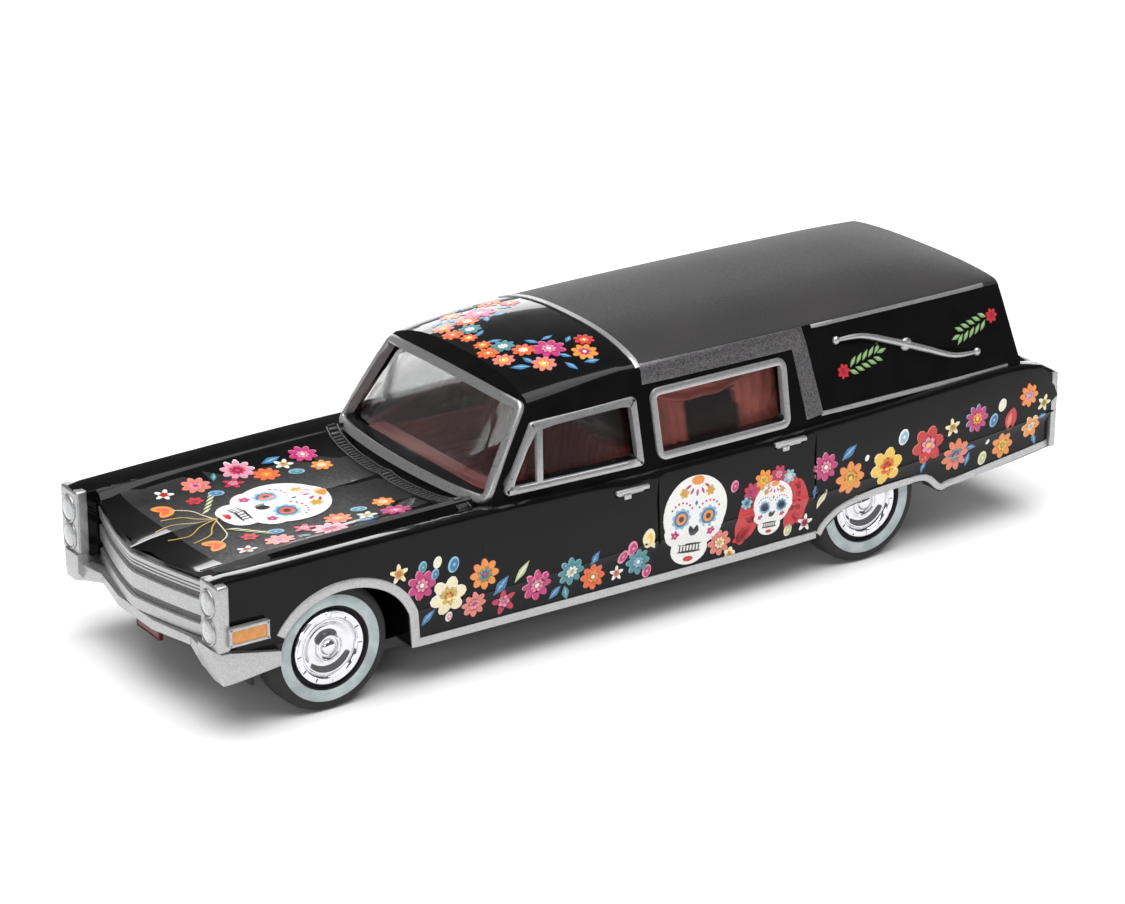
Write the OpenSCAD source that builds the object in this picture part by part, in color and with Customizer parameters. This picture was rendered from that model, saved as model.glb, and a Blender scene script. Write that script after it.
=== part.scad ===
// Toy hearse, 1:64: a die-cast shell over a riveted base, with two rolling wheelsets.
// Origin on the floor under the middle of the toy. +X is the car's left side, -Y its nose, +Z up.

/* [Overall] */
// Overall length, nose to tail
body_l = 98.8; // [90:0.1:125]
// Width over the doors
body_w = 31; // [25.5:0.1:38]
// Height of the roof crown above the floor
roof_z = 27.5; // [24:0.1:33]
// Height of the belt line, where glass starts
belt_z = 16.5; // [15.6:0.1:17.4]
// Height of the sill's lower edge
sill_z = 4.2; // [3.9:0.1:5]
// Thickness of the die-cast shell
wall = 1; // [0.8:0.1:1.3]

/* [Wheels] */
// Distance between the axles
wheelbase = 61.9; // [51:0.1:75]
// Front axle behind the nose
front_overhang = 12.35; // [12:0.05:14.5]
// Tyre outer radius
tyre_r = 6.2; // [5.2:0.1:6.4]
// Tyre width
tyre_w = 3.65; // [3:0.05:4.4]
// Radius of the rim, where the tyre seats
rim_r = 4.05; // [3.6:0.05:4.4]
// Radius of the axle pins
axle_r = 0.55; // [0.4:0.05:0.7]
// Radial running clearance of an axle in its bearing
axle_gap = 0.05; // [0.02:0.01:0.1]
// Clearance between a tyre and its wheel well
tyre_gap = 0.3; // [0.25:0.05:0.6]
// How far the tyre's face sits inside the door skin
tyre_inset = 1.05; // [1:0.05:1.5]

/* [Cabin] */
// Cowl behind the nose, where the windscreen starts
cowl_back = 28.25; // [25:0.05:32]
// Roof edge behind the cowl, at the top of the windscreen
screen_rake = 6.3; // [5:0.1:8]
// Roof divider behind the nose, where the covered roof starts
divider_back = 47.95; // [45:0.05:50]
// Lean of the cabin sides, mm inwards for each mm up
tumblehome = 0.242; // [0.15:0.001:0.3]
// Height of the crown above the roof rails
crown_h = 1.9; // [1.2:0.1:2.6]
// Thickness of the clear window moulding
glass_t = 0.6; // [0.4:0.1:0.8]
// Clearance between a moulding and the shell round it
fit_gap = 0.1; // [0.05:0.01:0.2]

/* [Base] */
// Height of the base plate's underside
base_z = 3.4; // [3:0.1:3.6]
// Thickness of the base plate
base_t = 1; // [0.8:0.1:1.2]
// Radius of the shell's riveted posts
post_r = 1.7; // [1.4:0.1:2]
// Radius of a rivet's shank
rivet_r = 0.8; // [0.6:0.05:0.9]

/* [Hidden] */

eps = 0.01;
far = 60;                                  // further than any part of the toy, for cutters
half_w = body_w / 2;
nose_y = -body_l / 2;
tail_y = body_l / 2;
front_axle_y = nose_y + front_overhang;
rear_axle_y = front_axle_y + wheelbase;
axle_z = tyre_r;
cowl_y = nose_y + cowl_back;
header_y = cowl_y + screen_rake;
divider_y = nose_y + divider_back;
cabin_end_y = tail_y - 3.9;                // foot of the cabin's rear face
rail_z = roof_z - crown_h;
belt_x = half_w - 1.3;
inner_x = belt_x - 2;                      // half width of the hollow under the cabin
tyre_out_x = half_w - tyre_inset;
tyre_in_x = tyre_out_x - tyre_w;
base_top_z = base_z + base_t;
pod_w = 3.2;                               // width of a headlamp pod
prow_depth = 2.7;                          // how far the grille's middle stands ahead of its ends
pod_y = nose_y + 0.65;                     // front of the headlamp pods, just behind the prow
grille_t = 1.5;
grille_low_z = sill_z + 3.8;
grille_top_z = belt_z - 2.9;
pod_in_x = half_w - 0.4 - pod_w;
bumper_end_y = front_axle_y - 5.36;        // back of the bumper's cut in the front wing
post_ys = [nose_y + 20, tail_y - 4.2];
base_end_z = base_z + 2.2;                 // underside of the base at its stepped ends
post_seats = [base_z, base_end_z];         // underside of the base at each post
door_ys = [cowl_y + 0.3, divider_y + 0.4, divider_y + 19.2];
well_r = tyre_r + tyre_gap;
deck_z = 2 * tyre_r + tyre_gap;            // underside of the load floor, above the rear tyres
tub_low_z = axle_z + axle_r + 0.9;

// Smooth curve through [y, value] keys, a cubic between each two
function seg(y, k, i = 0) = i >= len(k) - 2 || y < k[i + 1][0] ? i : seg(y, k, i + 1);
function key_slope(k, i) =
    let (a = max(0, i - 1), b = min(len(k) - 1, i + 1)) (k[b][1] - k[a][1]) / (k[b][0] - k[a][0]);
function ease(y, k) =
    let (i = seg(y, k), h = k[i + 1][0] - k[i][0], t = min(1, max(0, (y - k[i][0]) / h)),
         p = k[i][1], q = k[i + 1][1], m = key_slope(k, i) * h, n = key_slope(k, i + 1) * h)
    (2 * t ^ 3 - 3 * t ^ 2 + 1) * p + (t ^ 3 - 2 * t ^ 2 + t) * m + (3 * t ^ 2 - 2 * t ^ 3) * q
    + (t ^ 3 - t ^ 2) * n;
function steps(a, b, n) = [for (i = [0:n]) a + (b - a) * i / n];

// Solid skin over rings of equal length, closed at both ends; each ring runs clockwise seen from the first
module loft(rings) {
    n = len(rings[0]);
    m = len(rings);
    polyhedron(points = [for (r = rings) each r],
        faces = [[for (i = [0:n - 1]) i], [for (i = [n - 1:-1:0]) (m - 1) * n + i],
            for (j = [0:m - 2], i = [0:n - 1]) each
                [[j * n + i, (j + 1) * n + i, (j + 1) * n + (i + 1) % n],
                 [j * n + i, (j + 1) * n + (i + 1) % n, j * n + (i + 1) % n]]],
        convexity = 10);
}

// Lengthwise curves of the lower body
function side_x(y) = half_w - ease(y, [[nose_y, 0.8], [nose_y + 10, 0.5], [cowl_y, 0.2], [0, 0],
                                       [tail_y - 20, 0.1], [tail_y - 5, 0.6], [tail_y, 1]]);
function shoulder_z(y) = belt_z - ease(y, [[nose_y, 1.35], [nose_y + 2, 1.15], [cowl_y, 0.65],
                                           [divider_y - 2, 0.85], [divider_y + 16, 0.6], [tail_y - 7, -0.3],
                                           [tail_y - 1.8, 0.35], [tail_y, 1.5]]);
function crease_z(y) = sill_z + ease(y, [[nose_y, 4.2], [cowl_y, 3.8], [divider_y, 4.5],
                                         [divider_y + 20, 4.9], [tail_y - 8, 6.3], [tail_y, 6.8]]);
function lower_z(y) = sill_z + ease(y, [[nose_y, 0], [rear_axle_y + 4, 0.6], [rear_axle_y + 9, 1.5],
                                        [tail_y, 2.8]]);
function bonnet_z(y) = belt_z - ease(y, [[nose_y, 2.5], [nose_y + 3, 2], [nose_y + 10, 1.7],
                                         [cowl_y, 1.2], [cowl_y + 5, 0.9], [tail_y - 6, 0.6],
                                         [tail_y - 1.5, 0.8], [tail_y, 1.8]]);
function ridge_z(y) = belt_z - ease(y, [[nose_y, 2], [nose_y + 3, 1.5], [nose_y + 10, 0.95],
                                        [cowl_y, 0.5], [cowl_y + 5, 0.5], [tail_y - 6, 0.5],
                                        [tail_y - 1.5, 0.6], [tail_y, 1.7]]);

// One side of a section, from the sill up and over to the middle
function lower_half(y) =
    let (w = side_x(y), s = lower_z(y), c = crease_z(y), z = shoulder_z(y), r = ridge_z(y), m = bonnet_z(y),
         v = w - 5.1)
    concat([[w - 0.45, s], [w - 0.5, s + 0.9], [w - 0.45, c - 1.2], [w - 0.02, c], [w - 0.12, c + 0.35],
            [w, c + 0.4 * (z - c)], [w - 0.04, c + 0.65 * (z - c)], [w - 0.22, z - 0.6], [w - 0.4, z],
            [w - 0.7, z + 0.12], [w - 1.2, z + 0.1], [w - 2, z - 0.02], [w - 2.8, z - 0.25],
            [w - 3.15, z - 0.45], [w - 3.5, r + 0.05], [w - 3.9, r + 0.25], [w - 4.4, r + 0.05],
            [v, r - 0.35]],
           [for (t = [0.8, 0.6, 0.4, 0.2]) [v * t, m - 0.25 + (r - m - 0.25) * t ^ 3]],
           [[0.45, m - 0.1], [0, m]]);
function mirrored(h) = concat(h, [for (k = [len(h) - 2:-1:0]) [-h[k][0], h[k][1]]]);
module lower_body() {
    loft([for (y = steps(tail_y, nose_y, 46)) [for (p = mirrored(lower_half(y))) [p[0], y, p[1]]]]);
}

// Cabin: roof and sides, cut to length by the leaning windscreen and tail
function cabin_rail(y) = rail_z - ease(y, [[header_y - 3, 1.85], [header_y, 1.45], [header_y + 6, 0.7],
                                           [divider_y, 0.25], [divider_y + 20, 0], [tail_y - 12, 0.05],
                                           [tail_y, 0.1]]);
function cabin_crown(y) = roof_z - ease(y, [[header_y - 3, 2.1], [header_y, 1.6], [header_y + 6, 0.7],
                                            [divider_y, 0.25], [divider_y + 20, 0], [tail_y - 18, 0.05],
                                            [tail_y - 12, 0.35], [tail_y - 8, 0.95], [tail_y - 4, 2.1],
                                            [tail_y, 3.6]]);
function cabin_x(y, z) = belt_x - tumblehome * (z - belt_z)
    - ease(y, [[cowl_y, 0.75], [header_y, 0.5], [header_y + 8, 0], [tail_y - 14, 0], [tail_y - 4, 0.35]]);
function cabin_half(y, i) =
    let (rz = min(cabin_rail(y), cabin_crown(y) - 0.3) - i, cz = cabin_crown(y) - i,
         x = cabin_x(y, rz + i) - i)
    concat([i > 0 ? [inner_x, 0] : [cabin_x(y, belt_z - 3), belt_z - 3],
            i > 0 ? [inner_x, belt_z - 1] : [cabin_x(y, belt_z - 1.5), belt_z - 1.5],
            [cabin_x(y, belt_z) - i, belt_z], [cabin_x(y, rz - 0.4) - i, rz - 0.4], [x - 0.12, rz - 0.08]],
           [for (t = [0.96, 0.9, 0.82, 0.72, 0.6, 0.45, 0.3, 0.15, 0])
               [x * t, rz + (cz - rz) * (1 - t ^ 2.8)]]);
function screen_y(x, z) =
    cowl_y + (z - belt_z + 1.2) * screen_rake / (rail_z - belt_z) + 1.3 * (x / belt_x) ^ 2
    + 0.8 * (x / belt_x) ^ 8;
function tail_end_y(x, z) =
    cabin_end_y - (z - belt_z) * 0.26 - 0.25 * (x / belt_x) ^ 2 - 0.5 * (x / belt_x) ^ 10;
module cabin_plan(i) {
    xs = steps(-1.25, 1.25, 26);
    loft([for (z = [i > 0 ? base_z : belt_z - 3, roof_z + 2])
        concat([for (x = xs) [x * belt_x, screen_y(x * belt_x, z) + 1.2 * i, z]],
               [for (x = [for (k = [26:-1:0]) xs[k]])
                   [x * belt_x, tail_end_y(x * belt_x, z) - i, z]])]);
}
module cabin(i, n) {
    intersection() {
        loft([for (y = steps(tail_y - 1, cowl_y - 1, n))
            [for (p = mirrored(cabin_half(y, i))) [p[0], y, p[1]]]]);
        cabin_plan(i);
    }
}

// Shapes drawn in the side view as [y, z] and cut or grown along X
module side_shape(pts, x0, x1, r = 0) {
    rotate([90, 0, 90]) translate([0, 0, x0]) linear_extrude(x1 - x0)
        offset(r = r, $fn = 12) offset(delta = -r) polygon(pts);
}
module both_sides() {
    for (s = [0, 1]) mirror([s, 0, 0]) children();
}
front_window = [[cowl_y + 3.1, belt_z + 0.6], [header_y + 1.4, belt_z + 5.4],
                [door_ys[1] - 1.9, belt_z + 5.8], [door_ys[1] - 1.9, belt_z + 0.6]];
rear_window = [[door_ys[1] + 1, belt_z + 0.6], [door_ys[1] + 1, belt_z + 6],
               [door_ys[2] - 2.9, belt_z + 6.1], [door_ys[2] - 3.2, belt_z + 0.8]];
front_arch = concat([[front_axle_y - 5.6, 0]],
    [for (a = [0:10:180]) [front_axle_y + 1.3 - 7.1 * cos(a), axle_z - 1.6 + 7.3 * sin(a) ^ 0.8]],
    [[front_axle_y + 8.4, 0]]);
skirt_edge = [[rear_axle_y - 6.5, sill_z - 1], [rear_axle_y - 6.2, sill_z + 0.5],
              [rear_axle_y - 3.5, sill_z + 2.3], [rear_axle_y, sill_z + 2.9],
              [rear_axle_y + 4, sill_z + 3.1], [rear_axle_y + 7, sill_z + 3],
              [rear_axle_y + 8.9, sill_z + 1.5], [rear_axle_y + 9.5, sill_z - 1]];

module bonnet_front() {
    low = grille_top_z + 0.35;
    for (k = [[sill_z - 4, low, grille_t], [low - eps, far, 0]])
        translate([0, 0, k[0]]) linear_extrude(k[1] - k[0])
            polygon([[-pod_in_x, nose_y - 5], [pod_in_x, nose_y - 5],
                [pod_in_x, nose_y + prow_depth + k[2]],
                for (t = [0.75, 0.5, 0.25, 0, -0.25, -0.5, -0.75])
                    [pod_in_x * t, nose_y + prow_depth * abs(t) ^ 1.3 + k[2]],
                [-pod_in_x, nose_y + prow_depth + k[2]]]);
}
module seam(pts, depth = 0.25, width = 0.22) {
    for (k = [0:len(pts) - 2])
        hull() for (p = [pts[k], pts[k + 1]])
            translate([half_w - depth, p[0], p[1]]) cube([2, width, width]);
}
module body_casting() {
    color("black") {
        difference() {
            union() {
                lower_body();
                cabin(0, 34);
            }
            difference() {
                cabin(wall, 16);
                translate([-far, cowl_y + 2.6 - far, belt_z - 2.8]) cube([2 * far, far, 3]);
            }
            // hollows under the bonnet and the tail, open below and to the cabin
            side_shape([[nose_y + 5, 0], [nose_y + 5, belt_z - 4], [cowl_y - 1, belt_z - 2.8],
                        [cowl_y + 2, belt_z - 3.6], [cowl_y + 2, 0]], -inner_x, inner_x);
            side_shape([[cabin_end_y - 3, 0], [cabin_end_y - 3, belt_z - 1.6], [tail_y - 1.5, belt_z - 2],
                        [tail_y - 1.5, 0]], -inner_x + 0.5, inner_x - 0.5);
            bonnet_front();
            translate([-half_w, nose_y - 1, 0]) cube([body_w, 6.2, grille_low_z - 0.3]);
            both_sides() {
                translate([pod_in_x - eps, nose_y - 1, 0]) cube([far, pod_y - nose_y + 1, far]);
                side_shape(front_window, belt_x - 5, far, 0.35);
                side_shape(rear_window, belt_x - 5, far, 0.7);
                side_shape(front_arch, tyre_in_x, far);
                side_shape(skirt_edge, tyre_in_x, far);
                for (y = [front_axle_y, rear_axle_y])
                    translate([tyre_in_x - tyre_gap, y, axle_z]) rotate([0, 90, 0])
                        cylinder(r = well_r, h = tyre_w + 2 * tyre_gap - 0.05, $fn = 48);
                side_shape([[nose_y - 1, 0], [nose_y - 1, sill_z + 4.7], [nose_y + 2.5, sill_z + 4.3],
                            [bumper_end_y, sill_z + 3.15], [bumper_end_y, 0]], pod_in_x - 3, far);
                for (y = door_ys)
                    seam([[y, sill_z + 1], [y - 0.5, belt_z - 4], [y - 0.3, belt_z - 0.6]]);
            }
            // windscreen and tail window
            translate([0, header_y + 4, 0]) rotate([90, 0, 0]) linear_extrude(16)
                offset(r = 0.9, $fn = 16) offset(delta = -0.9)
                    polygon([[-belt_x + 1.2, belt_z - 0.1], [belt_x - 1.2, belt_z - 0.1],
                             [belt_x - 2.9, cabin_rail(header_y) - 0.5],
                             [0, cabin_rail(header_y) + 0.1], [-belt_x + 2.9, cabin_rail(header_y) - 0.5]]);
            translate([0, cabin_end_y + 2, 0]) rotate([90, 0, 0]) linear_extrude(6)
                offset(r = 0.9, $fn = 16) offset(delta = -0.9)
                    polygon([[-8.4, belt_z + 1.6], [8.4, belt_z + 1.6],
                             [7, belt_z + 6.3], [-7, belt_z + 6.3]]);
            // seats of the separate fittings
            front_bumper();
            rear_bumper();
            rear_plate();
            marker_lamps();
            tail_lamps();
            door_handles();
            landau_bars();
            headlamp_lenses(0.02);
        }
        // posts that the base is riveted to
        for (k = [0, 1]) let (z = post_seats[k] + base_t, top = belt_z - 1.3 - 1.2 * (1 - k))
            translate([0, post_ys[k], z]) cylinder(r = post_r, h = top - z, $fn = 32);
    }
}

module window_moulding() {
    color("lightgray", 0.5)
        difference() {
            cabin(wall + fit_gap, 20);
            cabin(wall + fit_gap + glass_t, 20);
            translate([-far, -far, 0]) cube([2 * far, 2 * far, belt_z]);
            translate([-far, cowl_y - 2, 0]) cube([2 * far, 1.6, belt_z + 0.2]);
        }
}

// Plan of the base and the tub, g inside the hollow
module floor_plan(y0, y1, g) {
    x = inner_x - g;
    polygon([[-x, y0], [x, y0], [x, y1], [-x, y1]]);
}
module wheel_notches(z0, z1) {
    both_sides() for (y = [front_axle_y, rear_axle_y])
        translate([tyre_in_x - 0.6, y - well_r - 0.2, z0])
            cube([far, 2 * well_r + 0.4, z1 - z0]);
}

module base_plate() {
    carrier_x = tyre_in_x - 1;
    color("dimgray") difference() {
        union() {
            translate([0, 0, base_z]) linear_extrude(base_t)
                floor_plan(front_axle_y - well_r - 0.5, rear_axle_y + well_r + 1, fit_gap);
            // both ends step up under the overhangs
            translate([0, 0, base_end_z]) linear_extrude(base_t) {
                floor_plan(nose_y + 5 + fit_gap, front_axle_y - well_r + 0.5, fit_gap);
                floor_plan(rear_axle_y + well_r, tail_y - 1.5 - fit_gap, fit_gap + 0.5);
            }
            riser_x = inner_x - 0.5 - fit_gap;
            for (y = [front_axle_y - well_r - 0.5, rear_axle_y + well_r])
                translate([-riser_x, y, base_z]) cube([2 * riser_x, 1, base_end_z + base_t - base_z]);
            for (y = [front_axle_y, rear_axle_y], s = [-1, 1])
                translate([s * (carrier_x - 1.5) - 1.5, y - 1.6, base_z])
                    cube([3, 3.2, axle_z + axle_r + 0.8 - base_z]);
            // frame rails, gearbox, shaft and final drive, moulded on the underside
            for (s = [-1, 1]) translate([s * 7.2 - 0.6, front_axle_y - well_r, base_z - 0.5])
                cube([1.2, wheelbase + 2 * well_r, 0.5 + eps]);
            translate([-3.2, front_axle_y + 3.5, base_z - 0.6]) cube([6.4, 9, 0.6 + eps]);
            translate([-1.7, front_axle_y + 12.5 - eps, base_z - 0.6]) cube([3.4, 6, 0.6 + eps]);
            translate([0, front_axle_y + 18, base_z - 0.1]) rotate([-90, 0, 0])
                cylinder(r = 0.7, h = wheelbase - 20.5, $fn = 24);
            translate([0, rear_axle_y, base_z + 0.3]) sphere(r = 1.7, $fn = 32);
            for (s = [-1, 1]) translate([s * 4.6, front_axle_y + 12, base_z]) rotate([-90, 0, 0])
                cylinder(r = 0.5, h = body_l - 38, $fn = 24);
        }
        wheel_notches(0, far);
        for (y = [front_axle_y, rear_axle_y])
            translate([-far, y, axle_z]) rotate([0, 90, 0])
                cylinder(r = axle_r + axle_gap, h = 2 * far, $fn = 32);
        for (k = [0, 1]) translate([0, post_ys[k], 0]) {
            cylinder(r = rivet_r, h = far, $fn = 32);
            translate([0, 0, post_seats[k] - far]) cylinder(r = 2.4, h = far, $fn = 32);
        }
    }
}
module rivets() {
    color("silver") for (k = [0, 1]) translate([0, post_ys[k], post_seats[k] - 0.5]) {
        cylinder(r = rivet_r, h = base_t + 0.5, $fn = 32);
        cylinder(r = 1.6, h = 0.5, $fn = 32);
    }
}

// Front end
module bumper_end() {
    x1 = half_w - 0.25;
    hull() {
        translate([x1 - 0.6, front_axle_y - 6, sill_z + 2]) cube([0.5, 0.5, 1.4]);
        translate([x1 - 1.6, pod_y + 1, sill_z + 1.2]) cube([1, 1, 3]);
        translate([x1 - 1.7, pod_y + 0.2, sill_z + 1.5]) cube([1.7, 0.8, 3]);
        translate([pod_in_x - 0.2, pod_y - 0.35, sill_z + 3]) cube([2.6, 1, 1.75]);
        translate([pod_in_x - 0.2, pod_y + 0.2, sill_z + 2.2]) cube([1, 0.6, 1]);
    }
    hull() {
        translate([pod_in_x - 0.3, pod_y + 0.1, sill_z + 2.2]) cube([0.2, 1.2, grille_low_z - sill_z - 2.22]);
        translate([8, nose_y + 1.35, sill_z + 3]) cube([0.6, 1.2, grille_low_z - sill_z - 3.02]);
    }
}
module front_bumper() {
    bar_z = sill_z + 2.8;
    color("silver") {
        both_sides() {
            bumper_end();
            hull() {
                translate([7.6, nose_y + 1.2, bar_z + 0.2]) cube([1, 1.6, grille_low_z - bar_z - 0.22]);
                translate([2.5, nose_y + 0.15, bar_z]) cube([0.8, 2, grille_low_z - bar_z - 0.02]);
            }
        }
        translate([-3, nose_y + 0.15, bar_z]) cube([6, 2, grille_low_z - bar_z - 0.02]);
    }
}
module front_plate() {
    color("darkred") translate([-2.2, nose_y + 1.3, sill_z + 0.9]) cube([4.4, 0.5, 1.9]);
}
module grille() {
    n = 8;
    reach = pod_in_x - 0.25;
    function prow(t) = nose_y + prow_depth * abs(t) ^ 1.3;
    color("silver") translate([0, 0, grille_low_z]) linear_extrude(grille_top_z - grille_low_z)
        polygon(concat([for (t = steps(-1, 1, n)) [t * reach, prow(t)]],
            [for (t = steps(1, -1, n)) [t * reach, prow(t) + grille_t - 0.1]]));
}
module headlamp_lenses(gap = 0) {
    color("white") both_sides() for (z = [sill_z + 6.3, sill_z + 9])
        translate([pod_in_x + pod_w / 2 - 0.1, pod_y + 0.02, z]) rotate([90, 0, 0]) scale([1, 1.1, 1])
            translate([0, 0, -0.35]) cylinder(r = 1.15 + gap, h = 0.35 + gap, $fn = 32);
}
module marker_lamps() {
    color("orange") both_sides()
        translate([half_w - 0.33, nose_y + 1.7, sill_z + 5.4]) cube([0.3, 3.6, 1.3]);
}

// Rear end
module rear_bumper() {
    color("silver") both_sides() {
        translate([half_w - 3.1, tail_y - 0.75, sill_z + 2.9]) cube([2.1, 0.7, 8]);
        translate([-eps, tail_y - 0.75, sill_z + 2.9]) cube([half_w - 3, 0.75, 2.2]);
    }
}
module tail_lamps() {
    color("red") both_sides()
        translate([half_w - 2.6, tail_y - 0.05, sill_z + 5.4]) cube([1.1, 0.05, 4.6]);
}
module rear_plate() {
    color("darkred") translate([-2.4, tail_y - 0.3, sill_z + 5.3]) cube([4.8, 0.3, 2.4]);
}

// Interior
module interior_tub() {
    y0 = cowl_y + 2.8;
    y1 = cabin_end_y - 3.2;
    g = fit_gap + 0.1;
    color("brown") {
        translate([0, 0, tub_low_z]) linear_extrude(1) floor_plan(y0, divider_y + 4, g);
        translate([0, 0, tub_low_z]) linear_extrude(belt_z - tub_low_z - 2)
            difference() {
                floor_plan(y0, divider_y + 4, g);
                floor_plan(y0 - 1, divider_y + 5, g + 0.9);
            }
        // load floor behind the seat
        translate([0, divider_y + 4, tub_low_z]) {
            translate([-tyre_in_x + 1.2, -1, 0]) cube([2 * tyre_in_x - 2.4, 1, deck_z - tub_low_z + 1]);
            translate([0, -divider_y - 4, deck_z - tub_low_z]) linear_extrude(0.9)
                floor_plan(divider_y + 3.5, y1, g);
        }
        // bench seat
        translate([-half_w + 4, divider_y - 7.5, tub_low_z + 0.5]) {
            cube([body_w - 8, 7, 2.6]);
            translate([0, 5.2, 2]) rotate([-10, 0, 0]) cube([body_w - 8, 1.8, 7]);
        }
    }
}
module dashboard() {
    color("brown") translate([-half_w + 4.4, cowl_y + 2.6, belt_z - 3.9]) cube([body_w - 8.8, 3.2, 3]);
}
module steering_wheel() {
    color("brown") translate([half_w / 2 - 0.6, cowl_y + 8.2, belt_z - 1.1]) rotate([58, 0, 0]) {
        rotate_extrude($fn = 48) translate([2.15, 0]) circle(r = 0.27, $fn = 16);
        translate([0, 0, -0.2]) cylinder(r = 0.55, h = 0.4, $fn = 24);
        for (a = [0, 120, 240]) rotate([0, 0, a]) translate([0, -0.17, -0.12]) cube([2.15, 0.34, 0.24]);
        translate([0, 0, -3.3]) cylinder(r = 0.3, h = 3.2, $fn = 24);
    }
}
module curtain_panels() {
    y0 = door_ys[1] + 0.6;
    y1 = door_ys[2] - 2;
    h = 7.4;
    color("brown") both_sides()
        translate([belt_x - wall - glass_t - 6 * fit_gap - 0.2, 0, belt_z + 0.1])
            rotate([0, -atan(tumblehome), 0]) translate([-0.8, 0, 0]) difference() {
                translate([0, y0, 0]) cube([0.8, y1 - y0, h]);
                translate([-1, (y0 + y1) / 2 - 2.6, -1]) cube([3, 5.2, 4.6]);
            }
}
module door_handles() {
    color("silver") both_sides() for (p = [[door_ys[1] - 5.2, belt_z - 2], [door_ys[2] - 5.3, belt_z - 1.2]])
        translate([half_w - 0.5, p[0], p[1] - 0.35]) cube([0.6, 3.8, 0.7]);
}
module landau_bars() {
    // [back from the tail, up from the belt]
    bar = [[27.6, 7], [23.8, 6.4], [19, 4.9], [14.3, 3.5], [10.3, 2.6]];
    color("silver") both_sides() translate([belt_x - 0.35, tail_y, belt_z])
        rotate([0, -atan(tumblehome), 0])
            for (k = [0:3]) hull() for (p = [bar[k], bar[k + 1]])
                translate([0, -p[0], p[1] * (rail_z - belt_z) / 9.1])
                    rotate([0, 90, 0]) cylinder(r = 0.32, h = 0.7, $fn = 12);
}

// Wheelsets
module axle(y) {
    color("silver") translate([-tyre_out_x + 0.75, y, axle_z]) rotate([0, 90, 0])
        cylinder(r = axle_r, h = 2 * tyre_out_x - 1.5, $fn = 32);
}
module rim() {
    w = tyre_w;
    color("silver") rotate([90, 0, 90]) translate([0, 0, tyre_in_x]) rotate_extrude($fn = 64)
        polygon([[axle_r, 0], [rim_r, 0], [rim_r, w - 0.35], [rim_r - 0.2, w - 0.25], [rim_r - 0.35, w - 0.2],
                 [rim_r - 0.45, w - 0.05], [rim_r - 1.1, w - 0.1], [1.4, w - 0.45], [1.1, w - 0.2],
                 [0.7, w - 0.08], [0, w - 0.05], [0, w - 0.75], [axle_r, w - 0.75]]);
}
module tyre() {
    w = tyre_w;
    round_r = 0.75;
    color("black") rotate([90, 0, 90]) translate([0, 0, tyre_in_x]) rotate_extrude($fn = 96)
        polygon(concat([[rim_r, 0.1]],
            [for (a = [0:15:90]) [tyre_r - round_r + round_r * sin(a), round_r - round_r * cos(a)]],
            [for (a = [90:-15:0]) [tyre_r - round_r + round_r * sin(a), w - round_r + round_r * cos(a)]],
            [[rim_r, w - 0.05]]));
}
module at_wheel(y, side) {
    translate([0, y, axle_z]) mirror([side < 0 ? 1 : 0, 0, 0]) children();
}

body_casting();
base_plate();
front_bumper();
grille();
front_plate();
headlamp_lenses();
marker_lamps();
rear_bumper();
rear_plate();
tail_lamps();
window_moulding();
interior_tub();
dashboard();
steering_wheel();
curtain_panels();
door_handles();
landau_bars();
rivets();
axle(front_axle_y);  // front_axle
axle(rear_axle_y);  // rear_axle
at_wheel(front_axle_y, 1) rim();  // front_left_rim
at_wheel(front_axle_y, -1) rim();  // front_right_rim
at_wheel(rear_axle_y, 1) rim();  // rear_left_rim
at_wheel(rear_axle_y, -1) rim();  // rear_right_rim
at_wheel(front_axle_y, 1) tyre();  // front_left_tyre
at_wheel(front_axle_y, -1) tyre();  // front_right_tyre
at_wheel(rear_axle_y, 1) tyre();  // rear_left_tyre
at_wheel(rear_axle_y, -1) tyre();  // rear_right_tyre
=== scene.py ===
"""Looks of a 1:64 toy hearse: paint, vinyl roof, silver trim, printed flowers, glass, wheels and studio.

Every shape is modelled in millimetres in the frame of the CAD model and turned into metres at the end.
"""

import logging
import math
from dataclasses import dataclass, field
from enum import Enum, IntEnum
from typing import Callable, Iterable, Sequence

import bmesh
import bpy
from mathutils import Matrix, Vector
from mathutils.bvhtree import BVHTree


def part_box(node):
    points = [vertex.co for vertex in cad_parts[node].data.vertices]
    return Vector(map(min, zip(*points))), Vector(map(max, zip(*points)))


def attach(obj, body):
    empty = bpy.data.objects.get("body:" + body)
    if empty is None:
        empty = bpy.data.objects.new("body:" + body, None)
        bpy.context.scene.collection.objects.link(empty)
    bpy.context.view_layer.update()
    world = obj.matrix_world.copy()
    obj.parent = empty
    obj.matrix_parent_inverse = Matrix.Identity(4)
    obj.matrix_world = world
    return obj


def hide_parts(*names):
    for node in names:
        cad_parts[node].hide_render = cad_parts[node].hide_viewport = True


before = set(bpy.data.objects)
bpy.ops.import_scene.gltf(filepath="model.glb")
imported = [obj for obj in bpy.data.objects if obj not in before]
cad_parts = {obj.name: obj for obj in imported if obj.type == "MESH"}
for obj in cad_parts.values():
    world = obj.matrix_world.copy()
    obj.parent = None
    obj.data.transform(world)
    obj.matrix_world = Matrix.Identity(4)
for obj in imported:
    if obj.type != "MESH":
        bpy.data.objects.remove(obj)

LOG = logging.getLogger("hearse")
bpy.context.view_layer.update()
MM = 0.001  # one millimetre, in metres
FAR = 90.0  # rays start this far out, past the whole car
SUNK = -0.06  # the underside of a strip lies this far under the surface
FLAT = 1e-9  # a vertex nearer the plane than this hasn't been raised yet
DOUBLE = 1e-4  # vertices closer than this are one
Colour = tuple[float, float, float]
Place = Callable[[float, float, float], Vector]
Point = tuple[float, float]
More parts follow.
